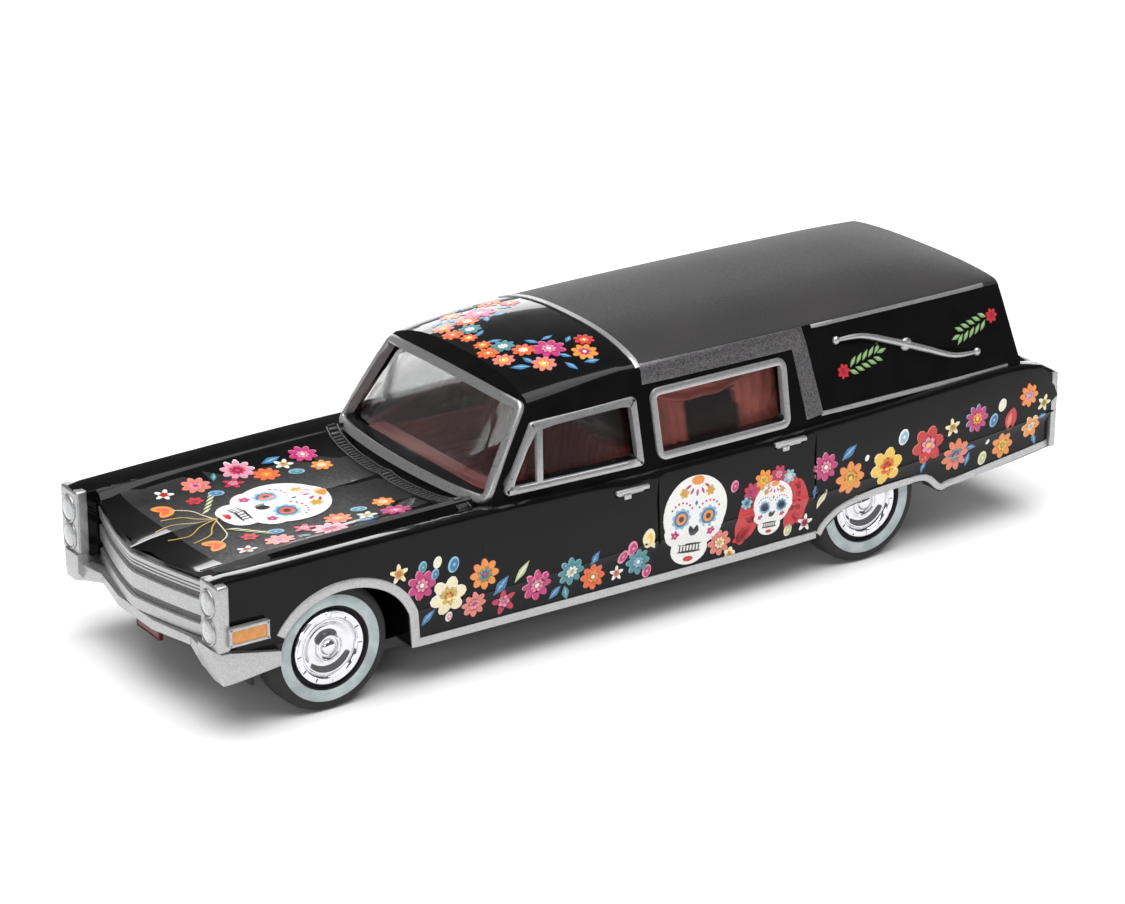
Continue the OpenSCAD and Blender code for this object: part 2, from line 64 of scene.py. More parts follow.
BMesh, BMEdge, BMFace, BMVert = bmesh.types.BMesh, bmesh.types.BMEdge, bmesh.types.BMFace, bmesh.types.BMVert
Socket = bpy.types.NodeSocket


# ---------------------------------------------------------------- finishes


class Tree:
    """The node tree of one material, with short calls for the patterns that the finishes share."""

    def __init__(self, name: str) -> None:
        """Start a material.

        Args:
            name: the material's name.
        """
        self.material = bpy.data.materials.new(name)
        self.material.use_nodes = True
        self.nodes = self.material.node_tree.nodes
        self.links = self.material.node_tree.links
        self.shader = self.nodes["Principled BSDF"]
        self.where = self.nodes.new("ShaderNodeTexCoord").outputs["Object"]

    def stretched(self, scale: Colour) -> Socket:
        """Stretch the object's coordinates.

        Args:
            scale: how much along each axis.

        Returns:
            The stretched coordinates' socket.
        """
        node = self.nodes.new("ShaderNodeMapping")
        node.inputs["Scale"].default_value = scale
        self.links.new(self.where, node.inputs["Vector"])
        return node.outputs["Vector"]

    def noise(self, per_mm: float, detail: float = 3.0, at: Socket | None = None) -> Socket:
        """Add noise with so many waves a millimetre.

        Args:
            per_mm: waves in a millimetre.
            detail: octaves of finer noise.
            at: the coordinates to read, or None for the object's own.

        Returns:
            The noise's value socket.
        """
        node = self.nodes.new("ShaderNodeTexNoise")
        node.inputs["Scale"].default_value = per_mm / MM
        node.inputs["Detail"].default_value = detail
        self.links.new(at or self.where, node.inputs["Vector"])
        return node.outputs["Fac"]

    def cells(self, per_mm: float, output: str = "Color") -> Socket:
        """Add a cell pattern.

        Args:
            per_mm: cells in a millimetre.
            output: Color for one shade a cell, or Distance.

        Returns:
            The pattern's socket.
        """
        node = self.nodes.new("ShaderNodeTexVoronoi")
        node.inputs["Scale"].default_value = per_mm / MM
        self.links.new(self.where, node.inputs["Vector"])
        return node.outputs[output]

    def waves(self, per_mm: float) -> Socket:
        """Add slightly bent bands across X.

        Args:
            per_mm: bands in a millimetre.

        Returns:
            The bands' value socket.
        """
        node = self.nodes.new("ShaderNodeTexWave")
        node.inputs["Scale"].default_value = per_mm / MM / math.tau
        node.inputs["Distortion"].default_value = 1.5
        self.links.new(self.where, node.inputs["Vector"])
        return node.outputs["Fac"]

    def tint(self, value: Socket, colour: Colour, low: float, high: float, start: float = 0.35,
             end: float = 0.65) -> None:
        """Colour the surface in darker and lighter shades of one colour.

        Args:
            value: the pattern that the shades follow.
            colour: the colour.
            low: how bright its dark shade is, as a share of it.
            high: how bright its light shade is.
            start: the pattern's value where the dark shade ends.
            end: the pattern's value where the light shade starts.
        """
        node = self.nodes.new("ShaderNodeValToRGB")
        first, last = node.color_ramp.elements
        first.position, last.position = start, end
        first.color, last.color = (*shade(colour, low), 1), (*shade(colour, high), 1)
        self.links.new(value, node.inputs["Fac"])
        self.links.new(node.outputs["Color"], self.shader.inputs["Base Color"])

    def bump(self, height: Socket, depth_mm: float, strength: float = 1.0) -> None:
        """Raise and sink the surface.

        Args:
            height: the pattern that it follows.
            depth_mm: the relief's depth in millimetres.
            strength: how much of it shows, from 0 to 1.
        """
        node = self.nodes.new("ShaderNodeBump")
        node.inputs["Distance"].default_value = depth_mm * MM
        node.inputs["Strength"].default_value = strength
        self.links.new(height, node.inputs["Height"])
        self.links.new(node.outputs["Normal"], self.shader.inputs["Normal"])

    def rough(self, value: Socket, low: float, high: float) -> None:
        """Let the roughness wander.

        Args:
            value: the pattern that it follows.
            low: the roughness where the surface is smoothest.
            high: the roughness where it is dullest.
        """
        node = self.nodes.new("ShaderNodeMapRange")
        for name, number in (("From Min", 0.3), ("From Max", 0.7), ("To Min", low), ("To Max", high)):
            node.inputs[name].default_value = number
        self.links.new(value, node.inputs["Value"])
        self.links.new(node.outputs["Result"], self.shader.inputs["Roughness"])

    def set(self, **sockets: float) -> None:
        """Set the shader's own sockets, named with underscores for spaces."""
        for name, number in sockets.items():
            self.shader.inputs[name.replace("_", " ")].default_value = number


def shade(colour: Colour, factor: float) -> Colour:
    """Return colour made darker or lighter, within 0 to 1."""
    return tuple(min(1.0, channel * factor) for channel in colour)


@dataclass(frozen=True)
class Finish:
    """A surface finish, with the record's slot that it belongs to. Each subclass makes its own material."""

    name: str
    colour: Colour
    slot: str | None = None

    def dress(self, tree: Tree) -> None:
        """Build the finish's pattern in the tree.

        Args:
            tree: the material's tree.
        """
        raise NotImplementedError

    def material(self) -> bpy.types.Material:
        """Make the finish's material, or find it where it is made already.

        Returns:
            The material.
        """
        made = bpy.data.materials.get(self.name)
        if made is None:
            tree = Tree(self.name)
            self.dress(tree)
            made = tree.material
        return made


@dataclass(frozen=True)
class Enamel(Finish):
    """Sprayed gloss paint under a clear coat, with faint orange peel and hairline scuffs."""

    peel: float = 0.004
    gloss: float = 1.0

    def dress(self, tree: Tree) -> None:
        """Build the paint.

        Args:
            tree: the material's tree.
        """
        tree.set(Coat_Weight=self.gloss, Coat_Roughness=0.03, Coat_IOR=1.24, IOR=1.12)
        tree.tint(tree.noise(0.35), self.colour, 0.8, 1.25)
        tree.rough(tree.noise(9, 6, tree.stretched((1, 0.08, 1))), 0.1, 0.22)
        tree.bump(tree.noise(1.6, 2), self.peel)


@dataclass(frozen=True)
class Vinyl(Finish):
    """Matt grained roof cover, rubbed a little lighter here and there."""

    def dress(self, tree: Tree) -> None:
        """Build the grain.

        Args:
            tree: the material's tree.
        """
        tree.set(IOR=1.4, Sheen_Weight=0.15, Sheen_Roughness=0.5)
        tree.tint(tree.noise(0.12, 5), self.colour, 0.8, 1.2)
        tree.rough(tree.noise(5, 4), 0.5, 0.68)
        tree.bump(tree.cells(5, "Distance"), 0.02, 0.5)


@dataclass(frozen=True)
class SilverPaint(Finish):
    """Hand-sprayed silver with visible flakes."""

    flakes: float = 9.0
    spread: float = 0.3
    metal: float = 0.7

    def dress(self, tree: Tree) -> None:
        """Build the flakes.

        Args:
            tree: the material's tree.
        """
        tree.set(Metallic=self.metal, IOR=1.5)
        tree.tint(tree.cells(self.flakes), self.colour, 1 - self.spread, 1 + self.spread, 0.15, 0.9)
        tree.rough(tree.noise(3, 4), 0.27, 0.42)
        tree.bump(tree.noise(self.flakes * 0.7, 4), 0.025, 0.6)


@dataclass(frozen=True)
class Plating(Finish):
    """Bright vacuum plating with the faintest waves and dust."""

    haze: float = 0.05

    def dress(self, tree: Tree) -> None:
        """Build the plating.

        Args:
            tree: the material's tree.
        """
        tree.set(Metallic=1.0)
        tree.tint(tree.noise(0.9), self.colour, 0.93, 1.0)
        tree.rough(tree.noise(4, 5), self.haze, self.haze + 0.07)
        tree.bump(tree.noise(0.8, 2), 0.006)


@dataclass(frozen=True)
class Ink(Finish):
    """Pad-printed ink: dense, a little grainy and softly glossy."""

    def dress(self, tree: Tree) -> None:
        """Build the ink's film.

        Args:
            tree: the material's tree.
        """
        tree.set(Coat_Weight=0.35, Coat_Roughness=0.15, IOR=1.42)
        tree.tint(tree.noise(6, 4), self.colour, 0.92, 1.05)
        tree.rough(tree.noise(3), 0.3, 0.42)
        tree.bump(tree.cells(10, "Distance"), 0.004, 0.5)


@dataclass(frozen=True)
class Moulding(Finish):
    """Injection-moulded plastic with a fine spark-eroded skin."""

    gloss: float = 0.45

    def dress(self, tree: Tree) -> None:
        """Build the skin.

        Args:
            tree: the material's tree.
        """
        tree.set(IOR=1.46, Subsurface_Weight=0.04, Subsurface_Scale=0.0004)
        tree.tint(tree.noise(0.5, 4), self.colour, 0.78, 1.18)
        tree.rough(tree.noise(4, 4), self.gloss - 0.08, self.gloss + 0.1)
        tree.bump(tree.noise(5, 4), 0.012, 0.7)


@dataclass(frozen=True)
class Clear(Finish):
    """Clear polished moulding, tinted by its thickness."""

    def dress(self, tree: Tree) -> None:
        """Build the clear plastic.

        Args:
            tree: the material's tree.
        """
        tree.set(Transmission_Weight=1.0, IOR=1.35, Coat_Weight=1.0, Coat_Roughness=0.02, Alpha=0.45)
        tree.tint(tree.noise(0.2), self.colour, 0.97, 1.0)
        tree.rough(tree.noise(2, 5), 0.0, 0.03)
        tree.bump(tree.noise(0.3, 1), 0.004)


@dataclass(frozen=True)
class Rubber(Finish):
    """Soft tyre rubber with a matt skin and a little dust."""

    def dress(self, tree: Tree) -> None:
        """Build the rubber.

        Args:
            tree: the material's tree.
        """
        tree.set(IOR=1.45, Sheen_Weight=0.08)
        tree.tint(tree.noise(0.8, 5), self.colour, 0.75, 1.4)
        tree.rough(tree.noise(3, 4), 0.45, 0.62)
        tree.bump(tree.noise(7, 3), 0.01, 0.6)


@dataclass(frozen=True)
class Cast(Finish):
    """Painted base casting, gritty from its mould."""

    def dress(self, tree: Tree) -> None:
        """Build the casting's skin.

        Args:
            tree: the material's tree.
        """
        tree.set(IOR=1.45)
        tree.tint(tree.noise(1.2, 5), self.colour, 0.7, 1.5)
        tree.rough(tree.noise(3, 4), 0.4, 0.6)
        tree.bump(tree.noise(4, 5), 0.03, 0.7)


@dataclass(frozen=True)
class Lamp(Finish):
    """Pearly lamp paint, brighter in soft clouds and deep under a clear drop."""

    def dress(self, tree: Tree) -> None:
        """Build the lamp's depth.

        Args:
            tree: the material's tree.
        """
        tree.set(Coat_Weight=1.0, Coat_Roughness=0.05, Metallic=0.15)
        tree.tint(tree.noise(1.5, 4), self.colour, 0.85, 1.1)
        tree.rough(tree.noise(3), 0.2, 0.35)
        tree.bump(tree.waves(2.2), 0.02, 0.4)


@dataclass(frozen=True)
class Backdrop(Finish):
    """The studio's pale paper floor."""

    def dress(self, tree: Tree) -> None:
        """Build the paper.

        Args:
            tree: the material's tree.
        """
        tree.set(Specular_IOR_Level=0.1)
        tree.tint(tree.noise(0.02), self.colour, 0.995, 1.0)
        tree.rough(tree.noise(0.5), 0.85, 0.95)


BLACK = Enamel("gloss_black_enamel", (0.0035, 0.0035, 0.004), "black_enamel")
VINYL = Vinyl("grained_roof_vinyl", (0.014, 0.012, 0.012))
SILVER = SilverPaint("flake_silver_paint", (0.45, 0.45, 0.455), "silver_paint", 18.0, 0.24, 0.8)
GUNMETAL = SilverPaint("speckled_gunmetal_paint", (0.12, 0.115, 0.12), "silver_paint", 9.0, 0.5, 0.5)
DARK_BAR = SilverPaint("shaded_silver_paint", (0.09, 0.09, 0.092), "black_enamel", 9.0, 0.4, 0.4)
CHROME = Plating("bright_plating", (0.72, 0.72, 0.75), "chrome_plating")
STEEL = Plating("axle_wire_steel", (0.6, 0.6, 0.62), haze=0.2)
GLASS = Clear("clear_window_moulding", (0.93, 0.95, 0.96), "clear_plastic")
MAROON = Moulding("burgundy_moulding", (0.22, 0.036, 0.028), "burgundy_plastic")
# Painted light: the curtains are the tub's burgundy plastic, given a lighter colour for the light on them behind
# the glass.
LIT_CURTAIN = Moulding("curtain_moulding", (0.4, 0.085, 0.058), "burgundy_plastic", 0.5)
RUBBER = Rubber("tyre_rubber", (0.012, 0.012, 0.013), "tyre_rubber")
WHITEWALL = Moulding("whitewall_band", (0.42, 0.48, 0.485))
BASE = Cast("satin_base_paint", (0.016, 0.016, 0.018))
WELL = Cast("matt_black_well", (0.006, 0.006, 0.006))
PEARL = Lamp("pearl_lamp_paint", (0.5, 0.51, 0.52), "pearl_paint")
AMBER = Lamp("amber_lamp_paint", (0.58, 0.22, 0.012))
RED_LAMP = Lamp("red_lamp_paint", (0.4, 0.008, 0.01), "red_paint")
PLATE = Moulding("dark_red_plate_paint", (0.09, 0.006, 0.01), "plate_paint", 0.3)
PAPER = Backdrop("studio_paper", (0.93, 0.93, 0.93))


class Print(Enum):
    """The print's inks."""

    WHITE = Ink("ink_white", (0.84, 0.84, 0.82))
    CREAM = Ink("ink_cream", (0.85, 0.76, 0.5))
    YELLOW = Ink("ink_yellow", (0.86, 0.55, 0.07))
    GOLD = Ink("ink_gold", (0.6, 0.38, 0.07))
    ORANGE = Ink("ink_orange", (0.8, 0.28, 0.045))
    FLAME = Ink("ink_flame", (0.76, 0.12, 0.03))
    SALMON = Ink("ink_salmon", (0.72, 0.2, 0.14))
    RED = Ink("ink_red", (0.55, 0.02, 0.025))
    CRIMSON = Ink("ink_crimson", (0.48, 0.02, 0.07))
    MAGENTA = Ink("ink_magenta", (0.5, 0.03, 0.17))
    PINK = Ink("ink_pink", (0.76, 0.28, 0.38))
    TEAL = Ink("ink_teal", (0.06, 0.24, 0.26))
    BLUE = Ink("ink_blue", (0.04, 0.17, 0.36))
    SKY = Ink("ink_sky", (0.26, 0.48, 0.62))
    LEAF = Ink("ink_leaf", (0.18, 0.34, 0.12))
    SAGE = Ink("ink_sage", (0.45, 0.55, 0.32))
    SHADOW = Ink("ink_shadow", (0.03, 0.03, 0.035))


# ---------------------------------------------------------------- places on the car


class Side(IntEnum):
    """A side of the car. Its value is the sign of X there."""

    LEFT = 1
    RIGHT = -1

    @property
    def hand(self) -> str:
        """Return left or right."""
        return self.name.lower()


class End(Enum):
    """An end of the car that an axle is at."""

    FRONT = "front"
    REAR = "rear"


def node_box(node: str) -> tuple[Vector, Vector]:
    """Return a CAD node's lowest and highest corner in millimetres."""
    low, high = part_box(node)
    return low / MM, high / MM


def keyed(value: float, keys: Sequence[Point]) -> float:
    """Read straight lines through keys, which stay flat past both ends.

    Args:
        value: where to read them.
        keys: places in order, each with its height.

    Returns:
        The height at value.
    """
    if value <= keys[0][0]:
        return keys[0][1]
    for (a, low), (b, high) in zip(keys, keys[1:]):
        if value <= b:
            return low + (high - low) * (value - a) / (b - a)
    return keys[-1][1]


@dataclass
class Car:
    """The car's leading places, in millimetres, from the CAD frame and a few of its sizes.

    Attributes:
        cowl_back: from the nose to the windscreen's foot.
        rake: how far back the windscreen leans.
        divider_back: from the nose to the strip between the painted and the covered roof.
        deck: from the cabin's rear face to the tail.
        shoulder: how far the belt lies in from the body's widest line.
        lean: how far the cabin's side leans in for each millimetre up.
        crown: how far the roof's middle stands over its edges.
        sill_z: height of the body's lower edge.
        pod_w: width of a headlamp pod.
        pod_back: from the nose to the pod's front.
    """

    cowl_back: float = 28.25
    rake: float = 6.3
    divider_back: float = 47.95
    deck: float = 3.9
    shoulder: float = 1.3
    lean: float = 0.242
    crown: float = 1.9
    sill_z: float = 4.2
    pod_w: float = 3.2
    pod_back: float = 0.65

    def __post_init__(self) -> None:
        """Read the frame."""
        low, high = node_box("body_casting")
        self.nose_y, self.tail_y, self.half_w, self.roof_z = low.y, high.y, high.x, high.z
        self.belt_z = node_box("window_moulding")[0].z
        self.belt_x = self.half_w - self.shoulder
        self.rail_z = self.roof_z - self.crown
        self.cowl_y = self.nose_y + self.cowl_back
        self.header_y = self.cowl_y + self.rake
        self.divider_y = self.nose_y + self.divider_back
        self.cabin_end_y = self.tail_y - self.deck
        self.pod_y = self.nose_y + self.pod_back
        self.pod_in_x = self.half_w - 0.4 - self.pod_w
        self.door_ys = (self.cowl_y + 0.3, self.divider_y + 0.4, self.divider_y + 19.2)
        axles = (node_box(f"{end.value}_axle") for end in End)
        self.axle_ys = tuple((first.y + last.y) / 2 for first, last in axles)
        tyre = node_box("front_left_tyre")
        self.axle_z = (tyre[0].z + tyre[1].z) / 2
        self.tyre_r = (tyre[1].z - tyre[0].z) / 2
        self.tyre_in_x, self.tyre_out_x = tyre[0].x, tyre[1].x

    def cabin_x(self, y: float, z: float) -> float:
        """Return the half width of the cabin's side at y and z."""
        nip = keyed(y, [(self.cowl_y, 0.75), (self.header_y, 0.5), (self.header_y + 8, 0),
                        (self.tail_y - 14, 0), (self.tail_y - 4, 0.35)])
        return self.belt_x - self.lean * (z - self.belt_z) - nip

    def screen_y(self, x: float, z: float) -> float:
        """Return where the windscreen's surface is at x and z. It bows back towards the pillars."""
        share = x / self.belt_x
        rise = (z - self.belt_z + 1.2) * self.rake / (self.rail_z - self.belt_z)
        return self.cowl_y + rise + 1.3 * share**2 + 0.8 * share**8

    def tail_end_y(self, x: float, z: float) -> float:
        """Return where the cabin's rear face is at x and z."""
        share = abs(x / self.belt_x)
        return self.cabin_end_y - (z - self.belt_z) * 0.26 - 0.25 * share**2 - 0.5 * share**10


class Skin:
    """The body's outer surface, which trim and print are wrapped on.

    Each wrap is a Place: it takes two coordinates along the surface and a height over it, all in
    millimetres, and returns the point.
    """

    def __init__(self, bm: BMesh, car: Car) -> None:
        """Keep a search tree of the body's mesh.

        Args:
            bm: the body's mesh.
            car: the car's places.
        """
        self.tree = BVHTree.FromBMesh(bm)
        self.car = car

    def hit(self, start: Vector, way: Vector) -> Vector | None:
        """Return the first point of the surface from start along way."""
        return self.tree.ray_cast(start, way)[0]

    def side(self, side: Side) -> Place:
        """Wrap on the car's side: along Y, up Z, out X.

        Args:
            side: the side.

        Returns:
            The wrap, which never goes inside the tyres' inner faces.
        """
        def place(y: float, z: float, lift: float) -> Vector:
            """Return a point on the side."""
            found = self.hit(Vector((side * FAR, y, z)), Vector((-side, 0, 0)))
            if not found or abs(found.x) < self.car.tyre_in_x:
                found = self.tree.find_nearest(Vector((side * self.car.half_w, y, z)))[0]
            x = max(abs(found.x), self.car.tyre_in_x)
            return Vector((side * (x + lift), y, z))
        return place

    def cabin(self, side: Side) -> Place:
        """Return a wrap on the leaning cabin side and across its windows: along Y, up Z, out X."""
        return lambda y, z, lift: Vector((side * (self.car.cabin_x(y, z) + lift), y, z))

    def top(self) -> Place:
        """Wrap on bonnet and roof.

        Returns:
            The wrap: along X, along Y, up Z.
        """
        def place(x: float, y: float, lift: float) -> Vector:
            """Return a point on top."""
            found = self.hit(Vector((x, y, FAR)), Vector((0, 0, -1)))
            return Vector((x, y, (found.z if found else self.car.belt_z) + lift))
        return place

    def round_roof(self) -> Place:
        """Wrap round the cabin.

        Returns:
            The wrap: degrees from the top, along Y, outwards.
        """
        def place(turn: float, y: float, lift: float) -> Vector:
            """Return a point on the roof or its side."""
            angle = math.radians(turn)
            out = Vector((math.sin(angle), 0, math.cos(angle)))
            core = Vector((0, y, self.car.belt_z))
            found = self.hit(core + out * FAR, -out) or core + out * self.car.belt_x
            return found + out * lift
        return place

    def screen(self) -> Place:
        """Return a wrap on the windscreen: along X, up Z, forwards."""
        return lambda x, z, lift: Vector((x, self.car.screen_y(x, z) - lift, z + lift * 0.6))

    def rear(self) -> Place:
        """Return a wrap on the cabin's rear face: along X, up Z, rearwards."""
        return lambda x, z, lift: Vector((x, self.car.tail_end_y(x, z) + lift, z))


# ---------------------------------------------------------------- shaping


def rounded(corners: Sequence[Point], radius: float, steps: int = 5) -> list[Point]:
    """Turn each corner of a closed outline into an arc.

    Args:
        corners: the outline's corners in order.
        radius: the arcs' radius.
        steps: spans in each arc.

    Returns:
        The rounded outline's points.
    """
    points = []
    for index, corner in enumerate(corners):
        here = Vector(corner)
        before = (Vector(corners[index - 1]) - here).normalized()
        after = (Vector(corners[(index + 1) % len(corners)]) - here).normalized()
        half = before.angle(after) / 2
        centre = here + (before + after).normalized() * (radius / math.sin(half))
        reach = radius / math.tan(half)
        start, end = here + before * reach - centre, here + after * reach - centre
        for step in range(steps + 1):
            spoke = start.normalized().slerp(end.normalized(), step / steps)
            points.append(tuple(centre + spoke * radius))
    return points


def curve_through(points: Sequence[Sequence[float]], spans: int = 6) -> list[tuple[float, ...]]:
    """Lay a smooth curve through points.

    Args:
        points: where it passes.
        spans: how many straight spans lie between each two of them.

    Returns:
        The curve's points.
    """
    ends = [points[0], *points, points[-1]]
    path = []
    for a, b, c, d in zip(ends, ends[1:], ends[2:], ends[3:]):
        for step in range(spans):
            t = step / spans
            path.append(tuple(
                0.5 * (2 * q + (r - p) * t + (2 * p - 5 * q + 4 * r - s) * t**2
                       + (3 * q - p - 3 * r + s) * t**3) for p, q, r, s in zip(a, b, c, d)))
    return [*path, tuple(points[-1])]


def of_kind(geometry: Iterable, kind: type) -> list:
    """Return the vertices, edges or faces in an operator's result."""
    return [item for item in geometry if isinstance(item, kind)]


def face_of(bm: BMesh, outline: Iterable[Point]) -> BMFace:
    """Add one flat face with the outline, and return it."""
    face = bm.faces.new([bm.verts.new((u, v, 0)) for u, v in outline])
    face.normal_update()
    return face


def raise_faces(bm: BMesh, faces: Iterable[BMFace], top: float, bottom: float = SUNK) -> list[BMVert]:
    """Give flat faces thickness, from bottom to top over the surface.

    Args:
        bm: the mesh, flat in wrap coordinates.
        faces: the faces to raise.
        top: height of their top.
        bottom: height of their underside, sunk in the surface.

    Returns:
        The top's vertices.
    """
    tops = of_kind(bmesh.ops.extrude_face_region(bm, geom=list(faces))["geom"], BMVert)
    upper = set(tops)
    for vert in bm.verts:
        if vert in upper:
            vert.co.z = top
        elif abs(vert.co.z) < FLAT:
            vert.co.z = bottom
    return tops


def round_tops(bm: BMesh, tops: Sequence[BMVert], radius: float, segments: int = 2) -> None:
    """Round the edges round a raised shape's top.

    Args:
        bm: the mesh.
        tops: the top's vertices.
        radius: the edges' radius.
        segments: faces across each rounded edge.
    """
    upper = set(tops)
    rim = [edge for edge in bm.edges if all(vert in upper for vert in edge.verts)
           and any(not all(vert in upper for vert in face.verts) for face in edge.link_faces)]
    bmesh.ops.bevel(bm, geom=rim, offset=radius, segments=segments, profile=0.5, affect="EDGES", material=-1)


def raised_frame(bm: BMesh, outline: Iterable[Point], width: float, top: float, bottom: float, soft: float,
                 segments: int = 2) -> None:
    """Add a raised frame inside a closed outline, in wrap coordinates.

    Args:
        bm: the mesh to add to.
        outline: the frame's outer edge.
        width: how wide the frame is.
        top: its height over the surface.
        bottom: height of its underside.
        soft: radius along its top edges.
        segments: faces across each rounded edge.
    """
    face = face_of(bm, outline)
    bmesh.ops.inset_region(bm, faces=[face], thickness=width, use_boundary=True, use_even_offset=True)
    ring = [item for item in bm.faces if item is not face and all(abs(vert.co.z) < FLAT for vert in item.verts)]
    bmesh.ops.delete(bm, geom=[face], context="FACES_ONLY")
    round_tops(bm, raise_faces(bm, ring, top, bottom), soft, segments)


def wrap(bm: BMesh, place: Place) -> None:
    """Lay a mesh in wrap coordinates on its surface."""
    for vert in bm.verts:
        vert.co = place(*vert.co)


def band(bm: BMesh, path: Sequence[Point], width: float, top: float, soft: float = 0.1) -> None:
    """Add a raised strip along a flat path, in wrap coordinates.

    Args:
        bm: the mesh to add to.
        path: the strip's middle line.
        width: its width.
        top: its height over the surface.
        soft: radius along its top edges.
    """
    points = [Vector(point) for point in path]
    rows = []
    for before, point, after in zip([points[0], *points], points, [*points[1:], points[-1]]):
        along = (after - before).normalized()
        across = Vector((-along.y, along.x)) * width / 2
        rows.append((point - across, point + across))
    verts = [bm.verts.new((*corner, 0)) for corner in rows[0]]
    edge = bm.edges.new(verts)
    faces = []
    for low, high in rows[1:]:
        grown = bmesh.ops.extrude_edge_only(bm, edges=[edge])["geom"]
        edge = of_kind(grown, BMEdge)[0]
        faces += of_kind(grown, BMFace)
        ends = of_kind(grown, BMVert)
        near = {vert for link in verts[0].link_edges for vert in link.verts}
        verts = ends if ends[0] in near else ends[::-1]
        verts[0].co, verts[1].co = (*low, 0), (*high, 0)
    round_tops(bm, raise_faces(bm, faces, top), soft)


def sweep(bm: BMesh, path: Sequence[Vector], radius: Callable[[float], float], sides: int = 12) -> None:
    """Add a round bar along a path.

    Args:
        bm: the mesh to add to.
        path: the bar's middle line.
        radius: the bar's radius at a share of its length.
        sides: how many sides it has.
    """
    last = len(path) - 1
    ring = None
    for index, point in enumerate(path):
        along = path[min(index + 1, last)] - path[max(index - 1, 0)]
        turn = along.to_track_quat("Z", "Y").to_matrix().to_4x4()
        made = bmesh.ops.create_circle(bm, segments=sides, radius=radius(index / last),
                                       cap_ends=index in (0, last),
                                       matrix=Matrix.Translation(point) @ turn)["verts"]
        edges = [edge for edge in {edge for vert in made for edge in vert.link_edges}
                 if all(vert in made for vert in edge.verts)]
        if ring:
            bmesh.ops.bridge_loops(bm, edges=ring + edges)
        ring = edges


def turned(bm: BMesh, profile: Sequence[Point], centre: Vector, axis: Vector, steps: int) -> list[BMVert]:
    """Add a turned shape.

    Args:
        bm: the mesh to add to.
        profile: pairs of radius and distance along the axis.
        centre: where the distance is 0.
        axis: the axis's direction, level with the ground.
        steps: faces round the shape.

    Returns:
        The shape's vertices.
    """
    old = set(bm.verts)
    verts = [bm.verts.new(centre + Vector((0, 0, 1)) * radius + axis * along) for radius, along in profile]
    edges = [bm.edges.new(pair) for pair in zip(verts, verts[1:])]
    bmesh.ops.spin(bm, geom=verts + edges, cent=centre, axis=axis, angle=math.tau, steps=steps,
                   use_merge=True, use_duplicate=False)
    new = [vert for vert in bm.verts if vert not in old]
    bmesh.ops.remove_doubles(bm, verts=new, dist=DOUBLE)
    return [vert for vert in new if vert.is_valid]


def block(bm: BMesh, low: Sequence[float], high: Sequence[float], soft: float,
          segments: int = 3) -> list[BMVert]:
    """Add a box between two corners with rounded edges.

    Args:
        bm: the mesh to add to.
        low: its lowest corner.
        high: its highest corner.
        soft: radius of its edges.
        segments: faces across each rounded edge.

    Returns:
        The box's vertices.
    """
    a, b = Vector(low), Vector(high)
    size = Matrix.Diagonal((*(b - a), 1))
    made = bmesh.ops.create_cube(bm, size=1, matrix=Matrix.Translation((a + b) / 2) @ size)["verts"]
    edges = list({edge for vert in made for edge in vert.link_edges})
    return bmesh.ops.bevel(bm, geom=edges, offset=soft, segments=segments, profile=0.5, affect="EDGES",
                           material=-1)["verts"]


def ball(bm: BMesh, centre: Vector, radii: Colour, around: int, down: int) -> None:
    """Add a ball with its own radius along each axis.

    Args:
        bm: the mesh to add to.
        centre: its middle.
        radii: its radius along X, Y and Z.
        around: faces round it.
        down: faces from pole to pole.
    """
    bmesh.ops.create_uvsphere(bm, u_segments=around, v_segments=down, radius=1,
                              matrix=Matrix.Translation(centre) @ Matrix.Diagonal((*radii, 1)))


def cad_copy(node: str) -> BMesh:
    """Copy a CAD node's mesh and merge its loose triangles.

    Args:
        node: the node.

    Returns:
        The copy, in millimetres.
    """
    bm = bmesh.new()
    bm.from_mesh(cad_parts[node].data)
    bmesh.ops.scale(bm, vec=(1 / MM,) * 3, verts=bm.verts)
    bmesh.ops.remove_doubles(bm, verts=bm.verts, dist=1e-3)
    return bm


def finish_piece(bm: BMesh, name: str, finishes: Sequence[Finish], body: str = "root",
                 stands_for: Sequence[str] = (), crease: float = 35.0,
                 outward: bool = True) -> bpy.types.Object:
    """Turn a mesh in millimetres into a piece of the object.

    Args:
        bm: the mesh, which is freed.
        name: the piece's name.
        finishes: its finishes, in the order of its material indices.
        body: the CAD body that it rides on.
        stands_for: CAD nodes that it replaces.
        crease: edges that turn more than this many degrees stay sharp.
        outward: whether to recalculate the normals first.

    Returns:
        The new object.
    """
    if outward:
        bmesh.ops.recalc_face_normals(bm, faces=bm.faces)
    for face in bm.faces:
        face.smooth = True
    for edge in bm.edges:
        edge.smooth = not (edge.is_manifold and edge.calc_face_angle(0) > math.radians(crease))
    bmesh.ops.scale(bm, vec=(MM,) * 3, verts=bm.verts)
    mesh = bpy.data.meshes.new(name)
    bm.to_mesh(mesh)
    bm.free()
    for finish in finishes:
        mesh.materials.append(finish.material())
    piece = bpy.data.objects.new(name, mesh)
    bpy.context.scene.collection.objects.link(piece)
    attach(piece, body)
    if stands_for:
        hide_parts(*stands_for)
    LOG.info("%s: %d faces on %s", name, len(mesh.polygons), body)
    return piece


